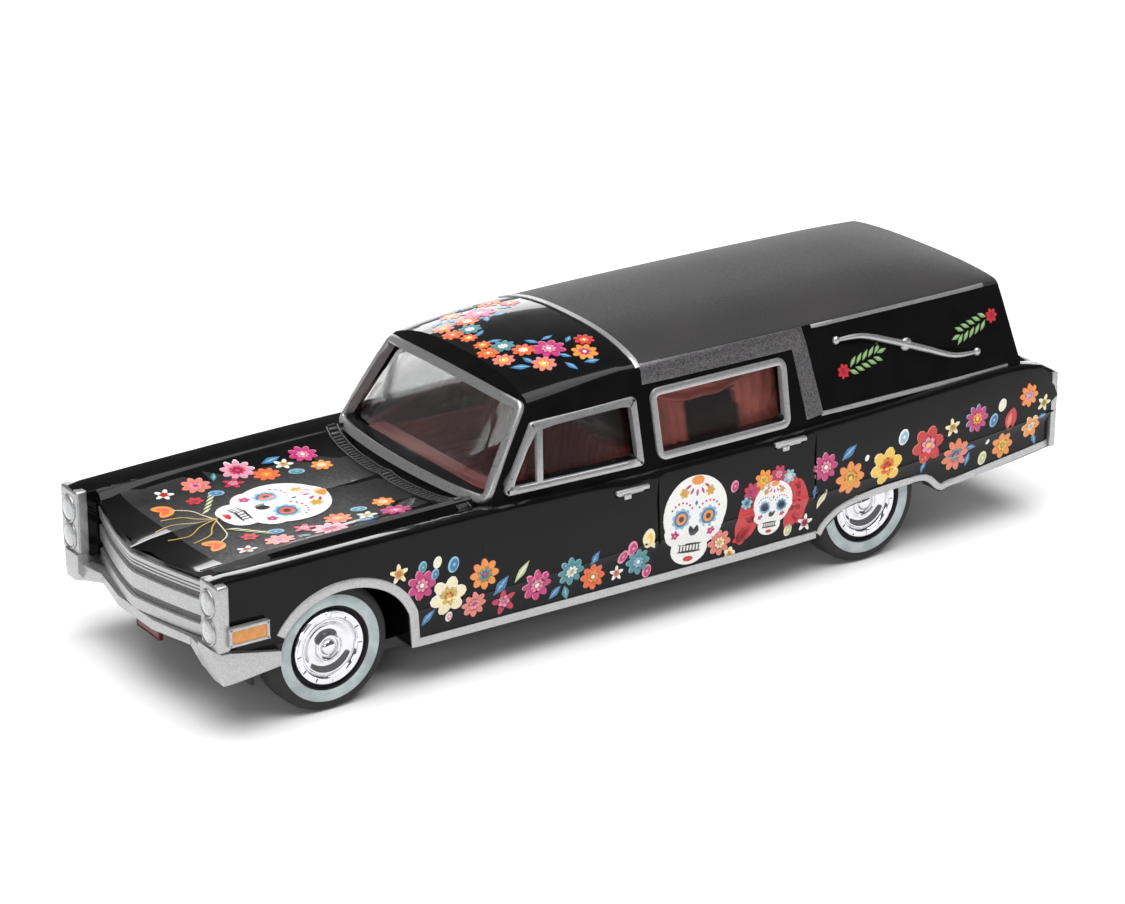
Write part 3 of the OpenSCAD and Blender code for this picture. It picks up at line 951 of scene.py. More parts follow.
def softened_piece(node: str, name: str, finish: Finish, radius: float, segments: int = 2) -> None:
    """Build a piece in a CAD node's own shape, with its sharp edges rounded.

    Args:
        node: the CAD node that it replaces.
        name: the piece's name.
        finish: its finish.
        radius: radius of its edges.
        segments: faces across each rounded edge.
    """
    bm = cad_copy(node)
    bmesh.ops.dissolve_limit(bm, angle_limit=math.radians(1), verts=bm.verts, edges=bm.edges)
    sharp = [edge for edge in bm.edges if edge.is_manifold and edge.calc_face_angle(0) > math.radians(25)]
    bmesh.ops.bevel(bm, geom=sharp, offset=radius, offset_type="OFFSET", segments=segments, profile=0.5,
                    affect="EDGES", material=-1, clamp_overlap=True)
    finish_piece(bm, name, (finish,), stands_for=(node,), crease=50)


def blank_plate(node: str, facing: int, soft: float) -> None:
    """Build a blank number plate with a raised rim.

    Args:
        node: the CAD node that it replaces.
        facing: -1 where it faces forwards, 1 where it faces rearwards.
        soft: radius of its edges.
    """
    low, high = node_box(node)
    bm = bmesh.new()
    block(bm, low, high, soft)
    outer = max(bm.faces, key=lambda face: face.calc_center_median().y * 10 * facing + face.calc_area())
    bmesh.ops.inset_region(bm, faces=[outer], thickness=0.16)
    bmesh.ops.translate(bm, vec=(0, -0.08 * facing, 0), verts=outer.verts)
    finish_piece(bm, f"{node}_blank", (PLATE,), stands_for=(node,))


# ---------------------------------------------------------------- body


class ShellPart(IntEnum):
    """What a face of the body's shell is finished as, in the order of the shell's finishes."""

    PAINT = 0
    COVER = 1
    WELL = 2


@dataclass
class BodyShell:
    """The painted die-cast shell, its vinyl roof and the matt insides of its wheel wells.

    Attributes:
        car: the car's places.
        roof_edge: height of the roof cover's lower edge.
        well_x: half the width of the space inside.
        well_top: the wells' faces lie under this height.
    """

    car: Car
    roof_edge: float = 25.45
    well_x: float = 12.6
    well_top: float = 14.0

    def build(self) -> Skin:
        """Build the shell.

        Returns:
            The surface that trim and print are laid on.
        """
        bm = cad_copy("body_casting")
        skin = Skin(bm, self.car)
        everything = list(bm.verts) + list(bm.edges) + list(bm.faces)
        bmesh.ops.bisect_plane(bm, geom=everything, plane_co=(0, self.car.divider_y, 0), plane_no=(0, 1, 0))
        for face in bm.faces:
            face.material_index = self.part_of(face)
        shell = finish_piece(bm, "painted_shell", (BLACK, VINYL, WELL), stands_for=("body_casting",), crease=24,
                             outward=False)
        shell.modifiers.new("weigh_flat_faces", "WEIGHTED_NORMAL").keep_sharp = True
        return skin

    def part_of(self, face: BMFace) -> ShellPart:
        """Tell what a face is finished as.

        Args:
            face: a face of the shell.

        Returns:
            The part that it belongs to.
        """
        at = face.calc_center_median()
        car = self.car
        on_roof = at.y > car.divider_y and at.z > self.roof_edge and face.normal.z > 0.12
        over_tail = at.y > car.tail_y - 9 and at.z > car.belt_z + 6.9 and face.normal.z > 0.4
        if on_roof or over_tail:
            return ShellPart.COVER
        inside = (abs(at.x) < self.well_x and at.z < car.belt_z - 1.4
                  and car.nose_y + 5 < at.y < car.tail_y - 1.6)
        axle_gap = min(math.hypot(at.y - y, at.z - car.axle_z) for y in car.axle_ys)
        in_arch = axle_gap < car.tyre_r + 1.2 and abs(face.normal.x) < 0.5
        hidden = inside or at.z < self.well_top and (in_arch or face.normal.z < -0.7)
        return ShellPart.WELL if hidden else ShellPart.PAINT


# ---------------------------------------------------------------- silver trim


@dataclass
class SideTrim:
    """Silver strips, window frames and the gunmetal band of one side of the car.

    Attributes:
        car: the car's places.
        skin: the surface that it lies on.
        side: the side.
        frame_w: width of the window frames.
        strip_w: width of the sill strip.
        lip_w: width of the strip round the front arch.
        skirt_w: width of the strip behind the rear wheel.
        arch_half: half the front arch's width.
        arch_rise: the front arch's height.
    """

    car: Car
    skin: Skin
    side: Side
    frame_w: float = 0.72
    strip_w: float = 0.8
    lip_w: float = 0.95
    skirt_w: float = 0.72
    arch_half: float = 7.1
    arch_rise: float = 7.3

    def build(self) -> None:
        """Build all of the side's trim."""
        self.sill_strip()
        self.window_frames()
        self.band_over_glass()
        self.belt_strip()
        self.marker_frame()

    def sill_strip(self) -> None:
        """Build the strip round the front arch, along the sill, over the rear skirt and out to the tail."""
        car = self.car
        front, rear = car.axle_ys
        half = self.lip_w / 2
        arch = [(front + 1.3 - (self.arch_half + half) * math.cos(angle),
                 car.axle_z - 1.6 + (self.arch_rise + half) * math.sin(angle) ** 0.8)
                for angle in (math.radians(degree) for degree in range(28, 171, 6))]
        sill = [(y, car.sill_z + 0.42 + max(0, (y - 10) * 0.012)) for y in range(-28, 19, 2)]
        skirt = [(-6.6, 0.45), (-5.6, 1.55), (-3.5, 2.72), (0, 3.32), (4, 3.5), (7, 3.4), (8.9, 1.98)]
        tail = [(10.2, 2.05), (15, 2.5), (20, 2.95), (car.tail_y - 0.8 - rear, 3.25)]
        bm = bmesh.new()
        band(bm, [*arch, (front + 8.85, car.sill_z + 0.3)], self.lip_w, 0.14)
        band(bm, [(front + 8.4, car.sill_z + 0.42), *sill], self.strip_w, 0.13)
        behind = [(rear + back, car.sill_z + up) for back, up in skirt + tail]
        band(bm, curve_through(behind, 4), self.skirt_w, 0.13)
        wrap(bm, self.skin.side(self.side))
        finish_piece(bm, f"sill_strip_{self.side.hand}", (SILVER,))

    def window_frames(self) -> None:
        """Build the frames round both side windows, and the vent bar in the front one."""
        car = self.car
        low = car.belt_z - 0.15
        front = [(car.cowl_y + 3.1, low), (car.header_y + 0.9, car.belt_z + 6.0),
                 (car.door_ys[1] - 1.25, car.belt_z + 6.35), (car.door_ys[1] - 1.25, low)]
        rear = [(car.door_ys[1] + 0.35, low), (car.door_ys[1] + 0.35, car.belt_z + 6.6),
                (car.door_ys[2] - 2.25, car.belt_z + 6.7), (car.door_ys[2] - 2.6, low + 0.1)]
        bm = bmesh.new()
        for corners, radius in ((front, 0.5), (rear, 1.0)):
            raised_frame(bm, rounded(corners, radius), self.frame_w, 0.3, -0.35, 0.14)
        band(bm, [(car.header_y + 1.75, car.belt_z + 5.5), (car.header_y + 1.0, car.belt_z + 0.3)], 0.7, 0.28)
        wrap(bm, self.skin.cabin(self.side))
        finish_piece(bm, f"window_frames_{self.side.hand}", (SILVER,))

    def band_over_glass(self) -> None:
        """Build the speckled band over the rear window and down the pillar behind it."""
        car = self.car
        start, pillar = car.divider_y + 0.1, car.door_ys[2]
        top, low = car.belt_z + 9.0, car.belt_z + 7.15
        outline = [(start, low), (start, top), (pillar + 0.15, top), (pillar + 1.45, car.belt_z + 0.45),
                   (pillar - 0.6, car.belt_z + 0.2), (pillar - 1.35, low)]
        bm = bmesh.new()
        face_of(bm, outline)
        bmesh.ops.triangulate(bm, faces=bm.faces)
        bmesh.ops.subdivide_edges(bm, edges=bm.edges, cuts=5, use_grid_fill=True)
        round_tops(bm, raise_faces(bm, list(bm.faces), 0.12), 0.08)
        wrap(bm, self.skin.side(self.side))
        finish_piece(bm, f"roof_band_{self.side.hand}", (GUNMETAL,))

    def belt_strip(self) -> None:
        """Build the thin strips under and over the rear quarter."""
        car = self.car
        under, over = self.skin.cabin(self.side), self.skin.side(self.side)
        for name, z, width, end, place in (("belt_strip", 0.42, 0.42, car.cabin_end_y, under),
                                           ("rail_strip", 8.85, 0.3, car.tail_y - 7, over)):
            bm = bmesh.new()
            path = [(y, car.belt_z + z) for y in range(round(car.door_ys[2] + 1), round(end), 2)]
            band(bm, path, width, 0.13, 0.06)
            wrap(bm, place)
            finish_piece(bm, f"{name}_{self.side.hand}", (SILVER,))

    def marker_frame(self) -> None:
        """Build the silver frame round the marker lamp."""
        low, high = node_box("marker_lamps")
        edge = 0.26
        outline = rounded([(low.y - edge, low.z - edge), (low.y - edge, high.z + edge),
                           (high.y + edge, high.z + edge), (high.y + edge, low.z - edge)], 0.12)
        bm = bmesh.new()
        raised_frame(bm, outline, 0.3, 0.08, -0.5, 0.06)
        wrap(bm, lambda y, z, lift: Vector((self.side * (high.x + lift), y, z)))
        finish_piece(bm, f"marker_frame_{self.side.hand}", (SILVER,))


@dataclass
class CabinTrim:
    """Trim that spans the car: windscreen surround, cowl louvres and the roof's divider."""

    car: Car
    skin: Skin
    louvres: int = 44

    def build(self) -> None:
        """Build the pieces."""
        self.screen_surround()
        self.cowl()
        self.divider()

    def screen_surround(self) -> None:
        """Build the thick silver surround of the windscreen."""
        car = self.car
        low, high = car.belt_z - 0.85, car.belt_z + 7.45
        outline = rounded([(-car.belt_x + 0.75, low), (-car.belt_x + 2.45, high), (car.belt_x - 2.45, high),
                           (car.belt_x - 0.75, low)], 0.9, 6)
        bm = bmesh.new()
        raised_frame(bm, self.arched(self.denser(outline)), 0.75, 0.34, -0.55, 0.2, 3)
        wrap(bm, self.skin.screen())
        finish_piece(bm, "windscreen_surround", (SILVER,))

    def denser(self, outline: Sequence[Point], step: float = 1.6) -> list[Point]:
        """Split an outline's long stretches, so that it bends with the glass.

        Args:
            outline: the outline's points.
            step: the longest stretch left.

        Returns:
            The points with those between them.
        """
        points = []
        for a, b in zip(outline, [*outline[1:], outline[0]]):
            start, end = Vector(a), Vector(b)
            parts = max(1, math.ceil((end - start).length / step))
            points += [tuple(start.lerp(end, part / parts)) for part in range(parts)]
        return points

    def arched(self, outline: Iterable[Point]) -> list[Point]:
        """Bow an outline's top up in the middle, as the roof is.

        Args:
            outline: the outline's points.

        Returns:
            The bowed points.
        """
        belt_x, belt_z = self.car.belt_x, self.car.belt_z
        return [(x, z + max(0.0, z - belt_z) / 7.4 * 0.75 * (1 - (x / belt_x) ** 2)) for x, z in outline]

    def cowl(self) -> None:
        """Build the louvred vent ahead of the windscreen."""
        car = self.car
        reach = car.belt_x - 1.9

        def ahead(share: float, gap: float) -> Point:
            """Return the point a gap ahead of the glass's foot, at a share of the vent's half width."""
            x = reach * share
            return x, car.screen_y(x, car.belt_z - 0.9) - gap

        bm = bmesh.new()
        for gap, top in ((0.75, 0.16), (1.95, 0.13)):
            band(bm, [ahead(2 * k / 24 - 1, gap) for k in range(25)], 0.16, top, 0.05)
        for k in range(self.louvres):
            share = 2 * (k + 0.5) / self.louvres - 1
            band(bm, [ahead(share, 0.9), ahead(share, 1.8)], 0.2, 0.15, 0.06)
        wrap(bm, self.skin.top())
        finish_piece(bm, "cowl_louvres", (DARK_BAR,))

    def divider(self) -> None:
        """Build the silver strip over the roof between paint and vinyl."""
        bm = bmesh.new()
        band(bm, [(turn, self.car.divider_y) for turn in range(-54, 55, 3)], 0.62, 0.14)
        for vert in bm.verts:
            if abs(vert.co.x) > 54.2:
                vert.co.x = math.copysign(54.2, vert.co.x)
        wrap(bm, self.skin.round_roof())
        finish_piece(bm, "roof_divider", (SILVER,))


# ---------------------------------------------------------------- front and rear ends


@dataclass
class FrontEnd:
    """Grille, headlamp bezels and domes, bumper and blank plate.

    Attributes:
        car: the car's places.
        prow: how far the grille's middle stands ahead of its ends.
        spans: upright spans across the grille, one to a rib.
        lamp_ups: heights of each pod's two lamps over the sill.
    """

    car: Car
    prow: float = 2.7
    spans: int = 40
    lamp_ups: tuple[float, float] = (6.3, 9.0)

    def build(self) -> None:
        """Build the front."""
        self.grille()
        self.bezels()
        self.domes()
        softened_piece("front_bumper", "front_bumper_blade", SILVER, 0.22, 3)
        blank_plate("front_plate", -1, 0.12)

    def grille(self) -> None:
        """Build the grille: silver frame, fine bars, two shaded bars and a ribbed middle band.

        Each row of its section is a height, how far it is sunk, and 1 where it is shaded.
        """
        low, high = node_box("grille")
        rows = [(0.0, 0.12, 0), (0.14, 0.0, 0), (1.2, 0.0, 0), (1.3, 0.28, 1), (2.0, 0.28, 1), (2.1, 0.06, 0),
                (2.2, 0.02, 0), (3.6, 0.02, 0), (3.7, 0.3, 1), (4.35, 0.3, 1), (4.42, 0.05, 0), (4.55, 0.05, 0),
                (4.6, 0.16, 1), (4.68, 0.16, 1), (4.72, 0.05, 0), (4.9, 0.05, 0), (4.95, 0.16, 1),
                (5.03, 0.16, 1), (5.08, 0.0, 0), (5.45, 0.0, 0), (high.z - low.z, 0.12, 0)]
        bm = bmesh.new()
        end_y = self.car.nose_y + self.prow
        verts = [bm.verts.new((-high.x, end_y + sink, low.z + up)) for up, sink, _ in rows]
        edges = [bm.edges.new(pair) for pair in zip(verts, verts[1:])]
        shares = [2 * step / self.spans - 1 for step in range(self.spans + 1)]
        for last, share in zip(shares, shares[1:]):
            grown = bmesh.ops.extrude_edge_only(bm, edges=edges)["geom"]
            edges = of_kind(grown, BMEdge)
            drop = self.prow * (abs(share) ** 1.3 - abs(last) ** 1.3)
            bmesh.ops.translate(bm, vec=(high.x * (share - last), drop, 0), verts=of_kind(grown, BMVert))
        for face in bm.faces:
            up = face.calc_center_median().z - low.z
            face.material_index = int(any(a[2] and b[2] and a[0] < up < b[0] for a, b in zip(rows, rows[1:])))
        self.ribs(bm)
        bmesh.ops.recalc_face_normals(bm, faces=bm.faces)
        bmesh.ops.solidify(bm, geom=list(bm.faces), thickness=0.7)
        finish_piece(bm, "grille_bars", (SILVER, DARK_BAR), stands_for=("grille",), crease=25)

    def ribs(self, bm: BMesh) -> None:
        """Score fine upright ribs in the middle band by pushing every other line of it back.

        Args:
            bm: the grille's face.
        """
        low, high = node_box("grille")
        for vert in bm.verts:
            column = round((vert.co.x / high.x + 1) * self.spans / 2)
            if 2.15 < vert.co.z - low.z < 3.65 and column % 2:
                vert.co.y += 0.05

    def lamp_centres(self, side: Side) -> list[Vector]:
        """Return the middles of the two lamps on one side, lower first."""
        x = side * (self.car.pod_in_x + self.car.pod_w / 2 - 0.1)
        return [Vector((x, self.car.pod_y - 0.12, self.car.sill_z + up)) for up in self.lamp_ups]

    def bezels(self) -> None:
        """Build the silver fronts of the headlamp pods."""
        car = self.car
        rim = [(1.02, -0.15), (1.05, 0.12), (1.15, 0.2), (1.27, 0.12), (1.32, -0.15)]
        for side in Side:
            bm = bmesh.new()
            x0, x1 = sorted((side * (car.pod_in_x - 0.06), side * (car.half_w - 0.33)))
            low, high = (x0, car.pod_y - 0.12, car.sill_z + 4.55), (x1, car.pod_y + 1.15, car.belt_z - 1.28)
            block(bm, low, high, 0.3, 4)
            for centre in self.lamp_centres(side):
                ring = turned(bm, rim, centre, Vector((0, -1, 0)), 40)
                bmesh.ops.scale(bm, vec=(1, 1, 1.1), verts=ring, space=Matrix.Translation(-centre))
            finish_piece(bm, f"headlamp_bezel_{side.hand}", (SILVER,))

    def domes(self) -> None:
        """Build the four pearly lamp domes."""
        bm = bmesh.new()
        for centre in self.lamp_centres(Side.LEFT) + self.lamp_centres(Side.RIGHT):
            ball(bm, centre, (1.06, 0.42, 1.17), 32, 20)
        finish_piece(bm, "headlamp_domes", (PEARL,), stands_for=("headlamp_lenses",))


@dataclass
class RearEnd:
    """Rear bumper, lamps, plate, tail window frame, and the tailgate's hinges and handle."""

    car: Car
    skin: Skin
    ribs: int = 7

    def build(self) -> None:
        """Build the rear."""
        softened_piece("rear_bumper", "rear_bumper_blade", SILVER, 0.15, 3)
        self.lamps()
        blank_plate("rear_plate", 1, 0.08)
        self.window_frame()
        self.tailgate()

    def lamps(self) -> None:
        """Build the tall red lamps with their ribs."""
        low, high = node_box("tail_lamps")
        inner = high.x - 1.1
        pitch = (high.z - low.z) / self.ribs
        bm = bmesh.new()
        for side in Side:
            a, b = sorted((side * inner, side * high.x))
            block(bm, (a, low.y - 0.1, low.z), (b, high.y, high.z), 0.03)
            for k in range(self.ribs):
                z = low.z + (k + 0.5) * pitch
                block(bm, (a + 0.08, high.y - 0.06, z - 0.12), (b - 0.08, high.y, z + 0.12), 0.02)
        finish_piece(bm, "tail_lamp_lenses", (RED_LAMP,), stands_for=("tail_lamps",))

    def window_frame(self) -> None:
        """Build the silver frame round the tail window."""
        low, high = self.car.belt_z + 1.15, self.car.belt_z + 6.75
        bm = bmesh.new()
        outline = rounded([(-8.9, low), (-7.4, high), (7.4, high), (8.9, low)], 1.0, 6)
        raised_frame(bm, outline, 0.6, 0.16, -0.3, 0.1)
        wrap(bm, self.skin.rear())
        finish_piece(bm, "tail_window_frame", (SILVER,))

    def tailgate(self) -> None:
        """Build the tailgate's hinges and handle."""
        car = self.car
        bm = bmesh.new()
        for z in (car.belt_z + 1.6, car.belt_z + 5.2):
            y = car.tail_end_y(-10, z)
            block(bm, (-10.9, y - 0.3, z), (-9.9, y + 0.12, z + 0.7), 0.08)
        y = car.tail_end_y(10, car.belt_z + 1.6)
        block(bm, (9.7, y - 0.3, car.belt_z + 1.3), (10.2, y + 0.3, car.belt_z + 3.3), 0.14)
        finish_piece(bm, "tailgate_fittings", (SILVER,))


# ---------------------------------------------------------------- handles and landau bars


@dataclass
class Brightwork:
    """Door handles and landau bars of both sides."""

    car: Car
    skin: Skin

    def build(self) -> None:
        """Build the small silver fittings."""
        self.handles()
        self.landau_bars()

    def handles(self) -> None:
        """Build each door handle: a backplate, a rounded bar and a push button.

        Each row is how far the block's inner and outer faces lie in from the body's widest line, its
        reach along the car, its reach in height, and the radius of its edges.
        """
        low, high = node_box("door_handles")
        car = self.car
        rows = ((0.5, 0.18, 0.35, 3.3, -0.05, 0.62, 0.1), (0.4, -0.085, 0.0, 3.8, 0.22, 0.68, 0.12),
                (0.4, -0.06, 0.9, 1.7, -0.35, 0.2, 0.1))
        bm = bmesh.new()
        for side in Side:
            for y, z in ((low.y, car.belt_z - 2.35), (high.y - 3.8, car.belt_z - 1.55)):
                for inner, outer, y0, y1, z0, z1, soft in rows:
                    x0, x1 = sorted((side * (car.half_w - inner), side * (car.half_w - outer)))
                    block(bm, (x0, y + y0, z + z0), (x1, y + y1, z + z1), soft)
        finish_piece(bm, "door_handle_set", (SILVER,), stands_for=("door_handles",))

    def landau_bars(self) -> None:
        """Build the long S of each landau bar with its boss and round ends."""
        belt = self.car.belt_z
        low, high = node_box("landau_bars")
        start, end = low.y + 0.3, high.y - 0.3
        middle = (start + end) / 2 - 0.2
        line = curve_through([(start, belt + 7.0), (start + 3.2, belt + 6.85), (middle - 1.5, belt + 5.6),
                              (middle, belt + 5.05), (middle + 2.5, belt + 4.1), (end - 3, belt + 2.85),
                              (end, belt + 2.6)], 6)
        bm = bmesh.new()
        for side in Side:
            place = self.skin.cabin(side)
            sweep(bm, [place(y, z, 0.12) for y, z in line],
                  lambda share: 0.16 + 0.2 * math.sin(share * math.pi) ** 0.7)
            for (y, z), radius in ((line[0], 0.42), ((middle, belt + 5.05), 0.68), (line[-1], 0.42)):
                ball(bm, place(y, z, 0.1), (0.34, radius, radius), 24, 14)
        finish_piece(bm, "landau_bar_pair", (SILVER,), stands_for=("landau_bars",), crease=60)


# ---------------------------------------------------------------- wheels


@dataclass
class Wheel:
    """One wheel: a plated cap with a padded rim, and a whitewall tyre.

    Attributes:
        car: the car's places.
        end: the end of its axle.
        side: the side of the car.
        pads: raised pads round the cap's edge.
    """

    car: Car
    end: End
    side: Side
    pads: int = 12

    def __post_init__(self) -> None:
        """Find the wheel's place, its width and its names."""
        y = self.car.axle_ys[list(End).index(self.end)]
        self.centre = Vector((self.side * self.car.tyre_out_x, y, self.car.axle_z))
        self.out = Vector((self.side, 0, 0))
        self.width = self.car.tyre_out_x - self.car.tyre_in_x
        self.name = f"{self.end.value}_{self.side.hand}"
        self.body = f"{self.end.value}_wheelset"

    def build(self) -> None:
        """Build the wheel on its wheelset."""
        self.cap()
        self.tyre()

    def place_of(self, face: BMFace) -> tuple[float, float, float]:
        """Say where a face's middle is on the wheel.

        Args:
            face: a face of the cap or the tyre.

        Returns:
            Its distance from the axle, its distance out from the wheel's outer face, and its turn
            round the axle in degrees.
        """
        gap = face.calc_center_median() - self.centre
        return math.hypot(gap.y, gap.z), gap.dot(self.out), math.degrees(math.atan2(gap.z, gap.y)) % 360

    def cap(self) -> None:
        """Build the wheel cap and the rim behind it."""
        w = self.width
        hub = [(0.0, 0.0), (0.3, -0.02), (0.55, -0.1), (0.72, -0.26), (0.8, -0.5), (0.98, -0.52), (1.06, -0.34),
               (1.16, -0.3), (1.26, -0.36), (1.34, -0.58)]
        dish = [(1.62, -0.74), (1.9, -0.78), (2.1, -0.7), (2.3, -0.54), (2.5, -0.42), (2.62, -0.42),
                (2.7, -0.52), (2.78, -0.52), (2.88, -0.3), (2.98, -0.2)]
        lip = [(3.42, -0.14), (3.52, -0.16), (3.6, -0.24), (3.66, -0.34), (3.7, -0.5), (3.72, -0.66),
               (4.02, -0.7)]
        back = [(4.05, -w + 0.3), (3.6, -w + 0.2), (3.3, -w + 0.9), (1.6, -w + 1.1), (1.4, -w + 0.2),
                (0.0, -w + 0.2)]
        bm = bmesh.new()
        turned(bm, hub + dish + lip + back, self.centre, self.out, self.pads * 8)
        bmesh.ops.recalc_face_normals(bm, faces=bm.faces)
        self.raise_pads(bm)
        for face in bm.faces:
            radius, out, _ = self.place_of(face)
            face.material_index = int(radius > 3.74 and out < -0.5)
        finish_piece(bm, f"{self.name}_wheel_cap", (CHROME, RUBBER), self.body, (f"{self.name}_rim",), crease=30)

    def raise_pads(self, bm: BMesh) -> None:
        """Raise rectangular pads round the cap's edge.

        Args:
            bm: the cap's mesh.
        """
        for pad in range(self.pads):
            faces = []
            for face in bm.faces:
                radius, out, turn = self.place_of(face)
                if 3.0 < radius < 3.42 and out > -0.25 and 0.1 < turn / 360 * self.pads - pad < 0.9:
                    faces.append(face)
            tops = of_kind(bmesh.ops.extrude_face_region(bm, geom=faces)["geom"], BMVert)
            bmesh.ops.translate(bm, vec=self.out * 0.1, verts=tops)
            bmesh.ops.delete(bm, geom=faces, context="FACES")

    def tyre(self) -> None:
        """Build the tyre with its raised white band, rounded shoulders and fine tread grooves."""
        w = self.width
        outer = [(4.04, -0.5), (4.06, -0.16), (4.1, -0.1), (4.16, -0.04), (4.2, -0.02), (5.12, -0.02),
                 (5.18, -0.05), (5.24, -0.1), (5.5, -0.07), (5.75, -0.12), (5.95, -0.26), (6.1, -0.46),
                 (6.18, -0.7)]
        tread = []
        for start in (1.0 + k * 0.42 for k in range(4)):
            tread += [(6.2, -start), (6.2, -start - 0.26), (6.13, -start - 0.3), (6.13, -start - 0.38)]
        inner = [(6.2, -w + 0.85), (6.15, -w + 0.5), (5.95, -w + 0.18), (5.6, -w), (4.4, -w), (4.04, -w + 0.2)]
        bm = bmesh.new()
        turned(bm, [*outer, *tread, *inner, outer[0]], self.centre, self.out, 112)
        for face in bm.faces:
            radius, out, _ = self.place_of(face)
            face.material_index = int(4.1 < radius < 5.2 and out > -0.3)
        finish_piece(bm, f"{self.name}_whitewall_tyre", (RUBBER, WHITEWALL), self.body, (f"{self.name}_tyre",),
                     crease=40)


# ---------------------------------------------------------------- cabin


@dataclass
class Cabin:
    """What shows through the glass: tub, dashboard, seat and moulded curtains.

    Attributes:
        car: the car's places.
        pleats: how many pleats the bench has.
        inset: how far the curtains hang inside the cabin's side.
        curtain_h: the curtains' height.
        gap: half the opening between the drapes.
    """

    car: Car
    pleats: int = 18
    inset: float = 2.35
    curtain_h: float = 7.3
    gap: float = 3.1

    def build(self) -> None:
        """Build the inside."""
        softened_piece("interior_tub", "cabin_tub", MAROON, 0.12)
        self.dashboard()
        self.seat()
        for side in Side:
            self.curtain(side)

    def dashboard(self) -> None:
        """Build the dashboard with a brow, a binnacle, a radio and dials."""
        low, high = node_box("dashboard")
        bm = bmesh.new()
        block(bm, low, high, 0.3)
        block(bm, (low.x + 0.4, high.y - 0.4, high.z - 1.1), (high.x - 0.4, high.y + 0.35, high.z - 0.15), 0.3)
        block(bm, (3.6, high.y - 0.2, high.z - 1.9), (10.4, high.y + 0.5, high.z - 0.9), 0.25)
        block(bm, (-1.6, high.y - 0.2, high.z - 2.6), (1.6, high.y + 0.2, high.z - 1.4), 0.15)
        for x in (5.2, 7.0, 8.8):
            turned(bm, [(0.0, 0.1), (0.45, 0.1), (0.52, 0.2), (0.6, 0.0), (0.0, 0.0)],
                   Vector((x, high.y + 0.45, high.z - 1.4)), Vector((0, 1, 0)), 20)
        finish_piece(bm, "dashboard_fascia", (MAROON,), stands_for=("dashboard",), crease=50)

    def seat(self) -> None:
        """Build the bench's pleated cushion and squab over the tub's seat."""
        half = self.car.half_w - 4.3
        front = self.car.divider_y - 7.7
        floor = node_box("interior_tub")[0].z
        w = half / self.pleats * 0.98
        middles = [-half + (k + 0.5) * 2 * half / self.pleats for k in range(self.pleats)]
        bm = bmesh.new()
        for x in middles:
            block(bm, (x - w, front, floor + 2.6), (x + w, front + 5.6, floor + 3.7), 0.3)
        squab = []
        for x in middles:
            squab += block(bm, (x - w, -0.6, 0), (x + w, 0.5, 6.6), 0.3)
        bmesh.ops.rotate(bm, verts=squab, cent=(0, 0, 0), matrix=Matrix.Rotation(math.radians(-10), 3, "X"))
        bmesh.ops.translate(bm, verts=squab, vec=(0, front + 5.3, floor + 2.9))
        finish_piece(bm, "bench_pleats", (MAROON,), crease=50)

    def curtain(self, side: Side) -> None:
        """Build a rear window's curtain: a swagged valance over two gathered drapes.

        Args:
            side: the side.
        """
        car = self.car
        y0, y1 = car.door_ys[1] + 0.6, car.door_ys[2] - 2.0
        low = car.belt_z + 0.1
        middle, half = (y0 + y1) / 2, (y1 - y0) / 2
        bm = bmesh.new()
        made = bmesh.ops.create_grid(bm, x_segments=96, y_segments=44, size=0.5)["verts"]
        bmesh.ops.scale(bm, vec=(2 * half, self.curtain_h, 1), verts=made)
        bmesh.ops.translate(bm, vec=(middle, low + self.curtain_h / 2, 0), verts=made)
        opening = []
        for face in bm.faces:
            at = face.calc_center_median()
            along, up = at.x - middle, at.y - low
            if abs(along) < self.gap + 0.15 * math.sin(up * 1.3) and up < self.hem(along, half):
                opening.append(face)
        bmesh.ops.delete(bm, geom=opening, context="FACES")
        for vert in bm.verts:
            vert.co.z = self.fold(vert.co.x - middle, vert.co.y - low, half)
        bmesh.ops.recalc_face_normals(bm, faces=bm.faces)
        bmesh.ops.solidify(bm, geom=list(bm.faces), thickness=0.3)
        wrap(bm, lambda y, z, lift: Vector((side * (car.cabin_x(y, z) - self.inset + lift), y, z)))
        stands_for = ("curtain_panels",) if side is Side.LEFT else ()
        # The curtain's finish is the burgundy plastic painted lighter, as painted light.
        finish_piece(bm, f"curtain_{side.hand}", (LIT_CURTAIN,), stands_for=stands_for, crease=70)

    def fold(self, along: float, up: float, half: float) -> float:
        """Work out how far the cloth stands out at a place.

        Args:
            along: distance from the window's middle.
            up: height over the sill.
            half: half the curtain's width.

        Returns:
            The fold's height.
        """
        sag = up - self.hem(along, half)
        if sag > -0.1:
            return 0.3 + 0.3 * math.sin(sag * 6.5 + 0.5 * math.sin(along * 1.3)) + 0.07 * math.sin(along * 2.3)
        pull = 1 + 0.35 * max(0.0, 1 - abs(up - 1.2) / 2)
        return 0.26 * math.sin((abs(along) - self.gap) * 4.6 * pull)

    def hem(self, along: float, half: float) -> float:
        """Return the height of the valance's lower edge, which hangs in one deep swag."""
        return 4.75 - 1.0 * math.cos((along + 1.2) / half * 2.2)


# ---------------------------------------------------------------- print


